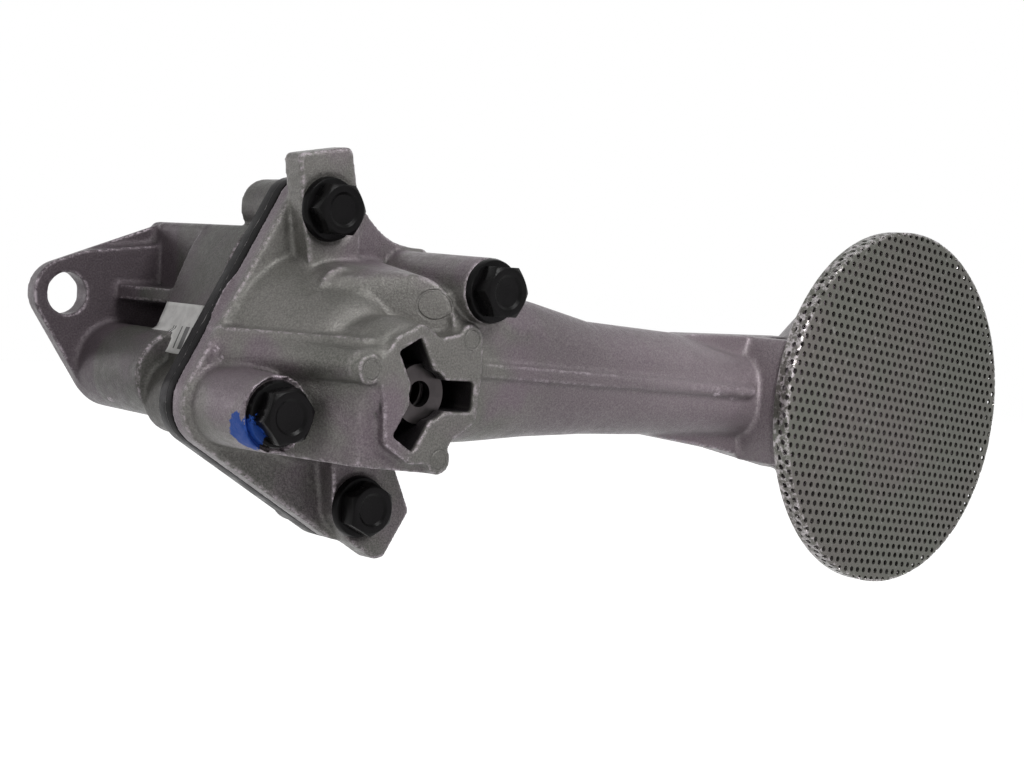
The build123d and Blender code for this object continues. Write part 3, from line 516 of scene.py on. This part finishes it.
def cast_material(name, grain, share, painted, marks):
    """Bare cast aluminium, purple in places, with painted highlights on its edges and painted shade in its
    hollows and low down; a lower share is darker and duller.
    """
    look = bpy.context.scene.pump_looks
    net, shader = new_material(name)
    skin = net.group("Cast grain", {"Grain": grain})
    # wear carries the painted edge highlight and the painted shade of the hollows
    wear = net.group("Edge highlight and hollow shade")
    color = net.mix(skin["Cloud"], opaque(look.cast_dark, share), opaque(look.cast_light, share))
    color = net.mix(net.math("MULTIPLY", skin["Tint"], 0.85), color, opaque(look.cast_tint, share))
    # Painted shade: darker towards the bottom and along the arm
    color = net.mix(net.math("MULTIPLY", skin["Low shade"], 0.55), color, opaque(look.cast_dark, 0.25 * share))
    # Painted shade in the casting's hollows
    color = net.mix(net.math("MULTIPLY", wear["Hollow"], 0.85), color, opaque(look.cast_dark, 0.25 * share))
    deep, bright = opaque(look.cast_dark, 0.55 * share), opaque(look.cast_light, 1.7 * share)
    grain_tone = net.mix(skin["Speck"], deep, bright)
    color = net.mix(0.34, color, grain_tone)
    # Painted highlight, pinkish white, along convex edges
    color = net.mix(net.math("MULTIPLY", wear["Edge"], 0.65), color, (0.66, 0.58, 0.64, 1.0))
    rough = skin["Roughness"]
    metal = CAST_METAL * share
    if painted:
        # Painted shade: near black in the relief valve's slots and bore
        color = net.mix(net.group("Relief mouth shade")["Mask"], color, (0.024, 0.021, 0.023, 1.0))
        mask = net.group("Paint mark", {"Radius": 7.1 * MM})["Mask"]
        color = net.mix(mask, color, opaque(look.paint))
        metal = net.math("MULTIPLY", net.math("SUBTRACT", 1.0, mask), metal)
        rough = net.math("ADD", rough, net.math("MULTIPLY", mask, 0.3))
    net.put(shader["Base Color"], color)
    net.put(shader["Roughness"], rough)
    net.put(shader["Metallic"], metal)
    shader["Specular IOR Level"].default_value = CAST_SHINE * share
    height = net.math("MULTIPLY", skin["Height"], 0.3)
    for at_x, at_z, radius in marks:
        mark = net.group("Pin mark", {"X": at_x * MM, "Z": at_z * MM, "Radius": radius * MM})["Height"]
        height = net.math("SUBTRACT", height, net.math("MULTIPLY", mark, 0.22))
    put_bump(net, shader, height, 1.0 * MM, 0.85)


def black_material(name, color, wear, roughness, radius):
    """Blackened steel with rubbed spots; a radius above 0 adds the paint mark."""
    look = bpy.context.scene.pump_looks
    net, shader = new_material(name)
    worn = net.group("Worn black", {"Wear": wear})
    tone = net.mix(worn["Cloud"], opaque(color), opaque(color, 1.9))
    tone = net.mix(net.math("MULTIPLY", worn["Rub"], 0.4), tone, RUBBED_BLACK)
    if radius:
        tone = net.mix(net.group("Paint mark", {"Radius": radius})["Mask"], tone, opaque(look.paint))
    net.put(shader["Base Color"], tone)
    net.put(shader["Roughness"], net.ramp(worn["Cloud"], 0.0, 1.0, roughness, roughness + 0.14))
    shader["Specular IOR Level"].default_value = BLACK_SHINE
    put_bump(net, shader, worn["Height"], 0.05 * MM, 0.5)


def steel_material(name, color, roughness):
    """Ground or turned metal with a film of oil."""
    net, shader = new_material(name)
    turned = net.group("Turned rings")
    net.put(shader["Base Color"], net.mix(turned["Cloud"], opaque(color, 0.7), opaque(color)))
    net.put(shader["Roughness"], net.ramp(turned["Ring"], 0.0, 1.0, roughness, roughness + 0.1))
    shader["Metallic"].default_value = 0.9
    put_bump(net, shader, turned["Ring"], 0.01 * MM, 0.3)


def machined_material():
    """Milled face of a casting, with the arcs that a face mill leaves."""
    net, shader = new_material("machined_face")
    spot = net.object_place()
    away = net.distance(spot, (0.06, 0.0, 0.09))
    arcs = net.ramp(net.math("SINE", net.math("MULTIPLY", away, 2 * math.pi / (0.45 * MM))), -1.0, 1.0)
    cloud = net.ramp(net.noise(spot, 90.0, 3.0), 0.3, 0.7)
    net.put(shader["Base Color"], net.mix(cloud, (0.3, 0.3, 0.29, 1.0), (0.42, 0.41, 0.4, 1.0)))
    net.put(shader["Roughness"], net.ramp(arcs, 0.0, 1.0, 0.26, 0.4))
    shader["Metallic"].default_value = 0.8
    put_bump(net, shader, arcs, 0.02 * MM, 0.5)


def screen_material():
    """Punched sheet steel, greenish grey with warm clouds and bright scuffs, and a painted highlight on its
    rubbed rim.
    """
    look = bpy.context.scene.pump_looks
    net, shader = new_material("screen_sheet")
    spot = net.object_place()
    cloud = net.ramp(net.noise(spot, 38.0, 4.0, 0.6), 0.38, 0.66)
    scuff = net.ramp(net.noise(spot, 520.0, 4.0, 0.7), 0.56, 0.74)
    color = net.mix(cloud, opaque(look.screen_color), (0.108, 0.1, 0.092, 1.0))
    color = net.mix(net.math("MULTIPLY", scuff, 0.3), color, (0.4, 0.39, 0.38, 1.0))
    low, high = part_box("strainer_screen")
    middle = ((low.x + high.x) / 2, (low.y + high.y) / 2, (low.z + high.z) / 2)
    radius = (high.x - low.x) / 2
    # Painted highlight, made as rubbed wear, along the rim's fold
    rim = net.ramp(net.distance(spot, middle), radius - 0.9 * MM, radius - 0.3 * MM)
    rim_wear_and_highlight = net.math("MULTIPLY", rim, net.ramp(net.noise(spot, 700.0, 5.0, 0.75), 0.46, 0.6))
    color = net.mix(net.math("MULTIPLY", rim_wear_and_highlight, 0.55), color, (0.6, 0.56, 0.58, 1.0))
    net.put(shader["Base Color"], color)
    net.put(shader["Roughness"], net.ramp(cloud, 0.0, 1.0, 0.3, 0.4))
    shader["Metallic"].default_value = 0.7
    put_bump(net, shader, net.noise(spot, 260.0, 3.0), 0.1 * MM, 0.35)


def plate_material():
    """Black gasketed plate whose sheared edge shows a broken bright line."""
    net, shader = new_material("black_plate")
    spot = net.object_place()
    worn = net.group("Worn black", {"Wear": 0.5})
    low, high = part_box("separator_plate")
    along = net.add("ShaderNodeSeparateXYZ", {"Vector": spot}).outputs["Y"]
    wave = net.math("MULTIPLY", net.noise(spot, 260.0, 3.0), 0.9 * MM)
    line_at = (low.y + high.y) / 2 + 0.1 * MM
    gap = net.math("ABSOLUTE", net.math("SUBTRACT", net.math("ADD", along, wave), line_at))
    line = net.ramp(gap, 0.04 * MM, 0.2 * MM, 1.0, 0.0)
    broken = net.ramp(net.noise(spot, 420.0, 4.0, 0.7), 0.52, 0.62)
    tone = net.mix(worn["Cloud"], (0.004, 0.0035, 0.004, 1.0), (0.009, 0.008, 0.009, 1.0))
    tone = net.mix(net.math("MULTIPLY", worn["Rub"], 0.4), tone, RUBBED_BLACK)
    bare = net.math("MULTIPLY", net.math("MULTIPLY", line, broken), 0.7)
    tone = net.mix(bare, tone, (0.3, 0.28, 0.28, 1.0))
    net.put(shader["Base Color"], tone)
    net.put(shader["Roughness"], net.ramp(worn["Cloud"], 0.0, 1.0, 0.3, 0.46))
    shader["Specular IOR Level"].default_value = BLACK_SHINE
    put_bump(net, shader, net.math("ADD", worn["Height"], line), 0.08 * MM, 0.5)


def rubber_material():
    net, shader = new_material("seal_rubber")
    fleck = net.noise(net.object_place(), 900.0, 2.0)
    net.put(shader["Base Color"], net.mix(fleck, (0.012, 0.012, 0.012, 1.0), (0.035, 0.035, 0.035, 1.0)))
    net.put(shader["Roughness"], net.ramp(fleck, 0.3, 0.7, 0.5, 0.7))
    put_bump(net, shader, fleck, 0.03 * MM, 0.4)


def label_material():
    """Plain paper sticker with generic bars in one corner."""
    net, shader = new_material("label_paper")
    place_on_label = net.add("ShaderNodeUVMap", uv_map="label").outputs[0]
    parts = net.add("ShaderNodeSeparateXYZ", {"Vector": place_on_label}).outputs
    step = net.math("FLOOR", net.math("MULTIPLY", parts["X"], 38.0))
    spread = net.add("ShaderNodeTexWhiteNoise", {"W": step}, noise_dimensions="1D").outputs["Value"]
    bars = net.math("GREATER_THAN", spread, 0.45)
    for value, low, high in ((parts["X"], 0.42, 1.1), (parts["Y"], 0.1, 0.55)):
        bars = net.math("MULTIPLY", bars, net.math("GREATER_THAN", value, low))
        bars = net.math("MULTIPLY", bars, net.math("LESS_THAN", value, high))
    stain = net.noise(net.object_place(), 420.0, 4.0, 0.6)
    paper = net.mix(net.ramp(stain, 0.3, 0.7), (0.56, 0.55, 0.54, 1.0), (0.72, 0.71, 0.7, 1.0))
    net.put(shader["Base Color"], net.mix(net.math("MULTIPLY", bars, 0.92), paper, (0.04, 0.04, 0.04, 1.0)))
    net.put(shader["Roughness"], net.ramp(stain, 0.3, 0.7, 0.35, 0.5))
    put_bump(net, shader, stain, 0.05 * MM, 0.3)


class PumpLooks(bpy.types.PropertyGroup):
    """Sizes and colours that a user would change."""

    voxel: bpy.props.FloatProperty(
        name="Casting detail", description="Size of the cells that the castings are remeshed from",
        default=0.45 * MM, unit="LENGTH")
    soft_rounds: bpy.props.IntProperty(
        name="Casting softness", description="Smoothing rounds over the castings' edges",
        default=5, min=0, max=40)
    fillet_rounds: bpy.props.IntProperty(
        name="Casting fillets", description="Smoothing rounds in the castings' inner corners",
        default=30, min=0, max=80)
    hole_d: bpy.props.FloatProperty(
        name="Hole", description="Diameter of the strainer's holes", default=1.4 * MM, unit="LENGTH")
    hole_pitch: bpy.props.FloatProperty(
        name="Pitch", description="Distance between the strainer's holes", default=2.5 * MM, unit="LENGTH")
    hole_turn: bpy.props.FloatProperty(
        name="Row angle", description="Turn of the rows of holes",
        default=math.radians(-6.85), subtype="ANGLE")
    first_hole: bpy.props.FloatVectorProperty(
        name="First hole", description="Place of one hole beside the strainer's centre",
        default=(-3.3 * MM, 0.2 * MM, 0.0), subtype="TRANSLATION")
    rim_fold: bpy.props.FloatProperty(
        name="Rim fold", description="Radius of the strainer's folded rim", default=0.6 * MM, unit="LENGTH")
    sheet: bpy.props.FloatProperty(
        name="Sheet", description="Thickness of the strainer's sheet", default=0.5 * MM, unit="LENGTH")
    cast_dark: bpy.props.FloatVectorProperty(
        name="Casting, dark", description="Darker tone of the castings", default=(0.115, 0.115, 0.103),
        subtype="COLOR")
    cast_light: bpy.props.FloatVectorProperty(
        name="Casting, light", description="Lighter tone of the castings", default=(0.18, 0.172, 0.163),
        subtype="COLOR")
    cast_tint: bpy.props.FloatVectorProperty(
        name="Casting, tint", description="Purple cast of the castings in places",
        default=(0.16, 0.112, 0.15), subtype="COLOR")
    screen_color: bpy.props.FloatVectorProperty(
        name="Strainer", description="Tone of the strainer's sheet",
        default=(0.1, 0.102, 0.087), subtype="COLOR")
    paint: bpy.props.FloatVectorProperty(
        name="Paint mark", description="Colour of the assembly mark",
        default=(0.025, 0.085, 0.38), subtype="COLOR")


class PUMP_OT_materials(bpy.types.Operator):
    """Makes the node groups and materials and gives the CAD nodes theirs"""

    bl_idname = "pump.materials"
    bl_label = "Materials"

    def execute(self, context):
        cast_grain_group()
        edge_highlight_shade_group()
        paint_mark_group()
        pin_mark_group()
        mouth_shade_group()
        worn_black_group()
        turned_group()
        # The body is a darker copy of the cover's casting: painted shade for the body, which sits behind the
        # cover
        cast_material("cast_body", 0.9, 0.58, False, [])
        cast_material("cast_cover", 1.0, 1.0, True, PIN_MARKS)
        black_material("black_screw", BLACK_TONE, 0.3, 0.24, 0.0)
        black_material("black_screw_painted", BLACK_TONE, 0.3, 0.24, 6.9 * MM)
        steel_material("ground_steel", (0.5, 0.5, 0.5), 0.2)
        steel_material("gear_steel", (0.3, 0.3, 0.29), 0.36)
        steel_material("spring_steel", (0.055, 0.05, 0.05), 0.32)
        steel_material("bronze", (0.5, 0.33, 0.17), 0.32)
        machined_material()
        screen_material()
        plate_material()
        rubber_material()
        label_material()
        finishes = {
            "black_screw": ["cover_screws_short", "cover_screw_right", "cover_screw_left"],
            "black_screw_painted": ["screw_washers"],
            "black_plate": ["separator_plate"],
            "ground_steel": ["dowel_pins", "drive_shaft", "gear_key", "idler_shaft", "relief_piston"],
            "gear_steel": ["drive_gear", "driven_gear"],
            "spring_steel": ["gear_snap_ring", "relief_spring", "relief_spring_seat"],
            "bronze": ["driven_gear_bush", "body_shaft_bush"],
            "seal_rubber": ["outlet_seal"],
            "cast_body": ["pump_body"],
            "cast_cover": ["pump_cover"],
            "screen_sheet": ["strainer_screen"],
        }
        for material, nodes in finishes.items():
            for node in nodes:
                NODES[node].data.materials.clear()
                NODES[node].data.materials.append(MATERIALS[material])
        return {"FINISHED"}


class PUMP_OT_castings(bpy.types.Operator):
    """Makes the cast cover and body with worn, rounded edges"""

    bl_idname = "pump.castings"
    bl_label = "Castings"

    def execute(self, context):
        look = context.scene.pump_looks
        for node, material in (("pump_cover", "cast_cover"), ("pump_body", "cast_body")):
            piece = welded_copy(node, node + "_cast")
            if node == "pump_cover":
                join_into(piece, self.cast_lumps())
            as_casting(piece, look.voxel, look.soft_rounds, look.fillet_rounds, 190000)
            piece.data.materials.append(MATERIALS[material])
            piece.data.materials.append(MATERIALS["machined_face"])
            finish_piece(piece, material, "housing", "cast_aluminium", node)
        low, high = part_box("pump_body")
        edit_faces(piece, lambda centre, normal: normal.y > 0.9 and centre.y > high.y - 0.15 * MM)
        piece.active_material_index = 1
        bpy.ops.object.material_slot_assign()
        leave_edit()
        return {"FINISHED"}

    def cast_lumps(self):
        """The volute's slanting crown, the spine and shoulder of the relief valve, and the arm's bead."""
        lumps = {name: disc_hull(name, discs) for name, discs in CAST_LUMPS.items()}
        self.clear_valve([lumps["crown"], lumps["spine"], lumps["shoulder"]])
        return list(lumps.values())

    def clear_valve(self, lumps):
        """Keeps the relief valve's bore and its three slots open through the lumps."""
        middle = Vector((MOUTH_AT[0], (VALVE_FRONT + VALVE_BACK) / 2, MOUTH_AT[2]))
        deselect_all()
        bpy.ops.mesh.primitive_cylinder_add(
            vertices=64, radius=BORE_R, depth=VALVE_BACK - VALVE_FRONT, location=middle,
            rotation=(math.radians(90), 0, 0))
        tools = [bpy.context.object]
        for angle in SLOT_ANGLES:
            deselect_all()
            bpy.ops.mesh.primitive_cube_add(size=1)
            slot = bpy.context.object
            shape = Matrix.Diagonal((SLOT_LENGTH, SLOT_DEPTH, SLOT_WIDTH, 1.0))
            turn = Matrix.Rotation(math.radians(-angle), 4, "Y")
            outward = Matrix.Translation((SLOT_LENGTH / 2, 0, 0))
            seat = Matrix.Translation((MOUTH_AT[0], VALVE_FRONT + SLOT_DEPTH / 2, MOUTH_AT[2]))
            place(slot, seat @ turn @ outward @ shape)
            tools.append(slot)
        for lump in lumps:
            for tool in tools:
                cut = lump.modifiers.new("Cut", "BOOLEAN")
                cut.operation = "DIFFERENCE"
                cut.solver = "EXACT"
                cut.object = tool
            apply_modifiers(lump)
        deselect_all()
        for tool in tools:
            tool.select_set(True)
        bpy.ops.object.delete()


class PUMP_OT_screen(bpy.types.Operator):
    """Punches, draws and crimps the strainer's cap"""

    bl_idname = "pump.screen"
    bl_label = "Strainer screen"

    def execute(self, context):
        look = context.scene.pump_looks
        low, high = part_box("strainer_screen")
        radius = (high.x - low.x) / 2
        deep = high.y - low.y
        flat = radius - look.rim_fold
        trim = deep - 0.5 * MM
        reach = flat + look.rim_fold * math.pi / 2 + trim + 1.0 * MM
        cap = self.punched_sheet(look, reach)
        self.draw_over_rim(cap, look.rim_fold, flat)
        edit_all(cap)
        bpy.ops.mesh.bisect(plane_co=(0, 0, -trim), plane_no=(0, 0, 1), clear_inner=True)
        bpy.ops.mesh.select_all(action="SELECT")
        bpy.ops.mesh.normals_make_consistent(inside=False)
        leave_edit()
        if sum(polygon.normal.z for polygon in cap.data.polygons) < 0:
            edit_all(cap)
            bpy.ops.mesh.flip_normals()
            leave_edit()
        sheet = cap.modifiers.new("Sheet", "SOLIDIFY")
        sheet.thickness = look.sheet
        sheet.offset = -1.0
        apply_modifiers(cap)
        thick = look.sheet
        crimp = [
            (radius - thick, -deep + 1.4 * MM),
            (radius, -deep + 1.4 * MM),
            (radius, -deep + 0.35 * MM),
            (radius - 0.35 * MM, -deep),
            (radius - 1.8 * MM, -deep),
            (radius - 1.8 * MM, -deep + thick),
            (radius - thick, -deep + thick),
        ]
        ring = turned_ring(crimp, 160)
        deselect_all()
        ring.select_set(True)
        cap.select_set(True)
        context.view_layer.objects.active = cap
        bpy.ops.object.join()
        cap.name = "strainer_mesh"
        middle = Vector(((low.x + high.x) / 2, low.y, (low.z + high.z) / 2))
        place(cap, Matrix.Translation(middle) @ Matrix.Rotation(math.radians(90), 4, "X"))
        smooth_by_angle(cap, 35)
        finish_piece(cap, "screen_sheet", "housing", "screen_steel", "strainer_screen")
        return {"FINISHED"}

    def punched_sheet(self, look, reach):
        """Flat sheet of hexagonal tiles with a hole in each, out to the given radius."""
        pitch = look.hole_pitch
        pair = pitch * math.sqrt(3)
        deselect_all()
        bpy.ops.mesh.primitive_circle_add(vertices=6, radius=pitch / math.sqrt(3))
        sheet = bpy.context.object
        bpy.ops.object.mode_set(mode="EDIT")
        bpy.ops.mesh.select_all(action="SELECT")
        bpy.ops.mesh.subdivide(number_cuts=1)
        bpy.ops.mesh.primitive_circle_add(vertices=12, radius=look.hole_d / 2)
        bpy.ops.mesh.select_all(action="SELECT")
        bpy.ops.mesh.bridge_edge_loops()
        leave_edit()
        columns = math.ceil(reach / pitch) + 1
        rows = math.ceil(reach / pair) + 1
        steps = [
            (2, (pitch / 2, pair / 2, 0)),
            (2 * columns + 1, (pitch, 0, 0)),
            (2 * rows + 1, (0, pair, 0)),
        ]
        for count, step in steps:
            array = sheet.modifiers.new("Array", "ARRAY")
            array.count = count
            array.use_relative_offset = False
            array.use_constant_offset = True
            array.constant_offset_displace = step
        apply_modifiers(sheet)
        back = Matrix.Translation((-columns * pitch, -rows * pair, 0))
        turn = Matrix.Rotation(look.hole_turn, 4, "Z")
        place(sheet, Matrix.Translation(look.first_hole) @ turn @ back)
        edit_faces(sheet, lambda centre, normal: centre.xy.length > reach)
        bpy.ops.mesh.delete(type="FACE")
        bpy.ops.mesh.select_mode(type="VERT")
        bpy.ops.mesh.select_all(action="SELECT")
        bpy.ops.mesh.remove_doubles(threshold=0.01 * MM)
        leave_edit()
        return sheet

    def draw_over_rim(self, sheet, fold, flat):
        """Bends what lies beyond the flat face round the fold and down the wall, as a press does."""
        for vertex in sheet.data.vertices:
            out = vertex.co.xy.length
            if out > flat:
                turn = min((out - flat) / fold, math.pi / 2)
                down = max(0.0, out - flat - fold * math.pi / 2)
                pulled = (flat + fold * math.sin(turn)) / out
                vertex.co.x *= pulled
                vertex.co.y *= pulled
                vertex.co.z = -fold * (1 - math.cos(turn)) - down


class PUMP_OT_fasteners(bpy.types.Operator):
    """Rounds the edges of the screws, washers, plate and shaft"""

    bl_idname = "pump.fasteners"
    bl_label = "Fasteners and plate"

    def execute(self, context):
        pieces = [
            ("separator_plate", "black_plate", 0.4, "housing", "black_steel"),
            ("cover_screws_short", "black_screw", 0.22, "housing", "black_steel"),
            ("cover_screw_left", "black_screw_painted", 0.22, "housing", "black_steel"),
            ("cover_screw_right", "black_screw", 0.22, "housing", "black_steel"),
            ("screw_washers", "black_screw_painted", 0.2, "housing", "black_steel"),
            ("drive_shaft", "ground_steel", 0.2, "drive", "ground_steel"),
        ]
        for node, material, width, body, slot in pieces:
            piece = welded_copy(node, node + "_finished")
            bevel = piece.modifiers.new("Bevel", "BEVEL")
            bevel.width = width * MM
            bevel.segments = 2
            bevel.limit_method = "ANGLE"
            bevel.angle_limit = math.radians(25)
            apply_modifiers(piece)
            smooth_by_angle(piece, 30)
            finish_piece(piece, material, body, slot, node)
        self.relief_spring()
        return {"FINISHED"}

    def relief_spring(self):
        """A welded copy of the spring, smoothed by angle, on the housing, with a mesh of its own."""
        spring = welded_copy("relief_spring", "relief_spring_finished")
        smooth_by_angle(spring, 40)
        finish_piece(spring, "spring_steel", "housing", "spring_steel", "relief_spring")
        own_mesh(spring)


class PUMP_OT_label(bpy.types.Operator):
    """Sticks the plain label on the wall of the pump body"""

    bl_idname = "pump.label"
    bl_label = "Label"

    def execute(self, context):
        top, bottom = Vector(LABEL_TOP) * MM, Vector(LABEL_BOTTOM) * MM
        up = (top - bottom).normalized()
        across = Vector((0, -1, 0))
        outward = across.cross(up)
        size = Vector((LABEL_REAR - LABEL_FRONT, (top - bottom).length, 1.0, 1.0))
        middle = (top + bottom) / 2 - across * ((LABEL_REAR + LABEL_FRONT) / 2) + outward * 1.0 * MM
        deselect_all()
        bpy.ops.mesh.primitive_grid_add(x_subdivisions=14, y_subdivisions=12, size=1)
        label = context.object
        label.name = "body_label"
        label.data.uv_layers[0].name = "label"
        turn = Matrix((across, up, outward)).transposed().to_4x4()
        place(label, Matrix.Translation(middle) @ turn @ Matrix.Diagonal(size))
        wrap = label.modifiers.new("Wrap", "SHRINKWRAP")
        wrap.target = bpy.data.objects["pump_body_cast"]
        wrap.wrap_method = "NEAREST_SURFACEPOINT"
        wrap.offset = 0.12 * MM
        paper = label.modifiers.new("Paper", "SOLIDIFY")
        paper.thickness = 0.08 * MM
        apply_modifiers(label)
        activate(label)
        bpy.ops.object.shade_smooth()
        finish_piece(label, "label_paper", "housing", "seal_rubber")
        return {"FINISHED"}


class PUMP_OT_stage(bpy.types.Operator):
    """Sets up the camera, the lamps, the world and the floor"""

    bl_idname = "pump.stage"
    bl_label = "Stage"

    def execute(self, context):
        self.camera(context)
        self.world(context)
        self.floor()
        for name, lamp in LAMPS.items():
            self.lamp(name, *lamp)
        context.scene.view_settings.view_transform = "Standard"
        return {"FINISHED"}

    def camera(self, context):
        data = bpy.data.cameras.new("camera")
        data.sensor_width = CAMERA_SENSOR
        data.lens = CAMERA_LENS
        data.clip_start = CAMERA_NEAR
        camera = bpy.data.objects.new("camera", data)
        context.scene.collection.objects.link(camera)
        right = Vector(CAMERA_RIGHT)
        ahead = Vector(CAMERA_AHEAD)
        up = right.cross(ahead)
        turn = Matrix((right, up, -ahead)).transposed().to_4x4()
        camera.matrix_world = Matrix.Translation(CAMERA_AT) @ turn
        context.scene.camera = camera

    def lamp(self, name, at, aim, size, power, color, spread):
        data = bpy.data.lights.new(name, "AREA")
        data.shape = "DISK"
        data.size = size
        data.energy = power
        data.color = color
        data.spread = math.radians(spread)
        lamp = bpy.data.objects.new(name, data)
        lamp.location = at
        lamp.rotation_euler = (Vector(aim) - Vector(at)).to_track_quat("-Z", "Y").to_euler()
        bpy.context.scene.collection.objects.link(lamp)

    def seen_rays(self, net):
        """1 for what the camera sees directly, in metal or through glass."""
        path = net.add("ShaderNodeLightPath").outputs
        seen = net.math("MAXIMUM", path["Is Camera Ray"], path["Is Glossy Ray"])
        return net.math("MAXIMUM", seen, path["Is Transmission Ray"])

    def world(self, context):
        world = bpy.data.worlds.new("studio")
        world.use_nodes = True
        context.scene.world = world
        world.node_tree.nodes.clear()
        net = Net(world.node_tree)
        white = net.add("ShaderNodeBackground", {"Color": (1.0, 1.0, 1.0, 1.0), "Strength": 1.0})
        light = net.add("ShaderNodeBackground", {"Color": (1.0, 1.0, 1.0, 1.0), "Strength": WORLD_LIGHT})
        values = {0: self.seen_rays(net), 1: light.outputs[0], 2: white.outputs[0]}
        both = net.add("ShaderNodeMixShader", values)
        net.add("ShaderNodeOutputWorld", {"Surface": both.outputs[0]})

    def floor(self):
        net, shader = new_material("pale_floor")
        material = MATERIALS["pale_floor"]
        speck = net.noise(net.object_place(), 30.0, 2.0)
        net.put(shader["Base Color"], net.mix(speck, (0.6, 0.6, 0.6, 1.0), (0.64, 0.64, 0.64, 1.0)))
        shader["Roughness"].default_value = 0.9
        glow = net.add("ShaderNodeEmission", {"Strength": 1.0})
        dark = net.add("ShaderNodeEmission", {"Strength": 0.0})
        lit = net.add("ShaderNodeMixShader", {0: self.seen_rays(net), 1: dark.outputs[0], 2: glow.outputs[0]})
        surface = material.node_tree.nodes["Principled BSDF"].outputs[0]
        both = net.add("ShaderNodeAddShader", {0: surface, 1: lit.outputs[0]})
        net.put(material.node_tree.nodes["Material Output"].inputs["Surface"], both.outputs[0])
        deselect_all()
        bpy.ops.mesh.primitive_grid_add(
            x_subdivisions=4, y_subdivisions=4, size=FLOOR_SIZE, location=(0, 0, FLOOR_Z))
        floor = bpy.context.object
        floor.name = "floor"
        bpy.ops.object.transform_apply(location=True, rotation=True, scale=True)
        floor.data.materials.append(material)


OPERATORS = [
    PUMP_OT_materials, PUMP_OT_castings, PUMP_OT_screen, PUMP_OT_fasteners, PUMP_OT_label, PUMP_OT_stage,
]


class PUMP_PT_panel(bpy.types.Panel):
    """Lists the steps that dress the pump"""

    bl_idname = "PUMP_PT_panel"
    bl_label = "Oil pump"
    bl_space_type = "VIEW_3D"
    bl_region_type = "UI"
    bl_category = "Oil pump"

    def draw(self, context):
        looks = context.scene.pump_looks
        for name in PumpLooks.__annotations__:
            self.layout.prop(looks, name)
        for operator in OPERATORS:
            self.layout.operator(operator.bl_idname)


def register():
    for item in [PumpLooks, *OPERATORS, PUMP_PT_panel]:
        bpy.utils.register_class(item)
    bpy.types.Scene.pump_looks = bpy.props.PointerProperty(type=PumpLooks)


def unregister():
    del bpy.types.Scene.pump_looks
    for item in reversed([PumpLooks, *OPERATORS, PUMP_PT_panel]):
        bpy.utils.unregister_class(item)


def main():
    register()
    bpy.ops.pump.materials()
    bpy.ops.pump.castings()
    bpy.ops.pump.screen()
    bpy.ops.pump.fasteners()
    bpy.ops.pump.label()
    bpy.ops.pump.stage()


if __name__ == "__main__":
    main()
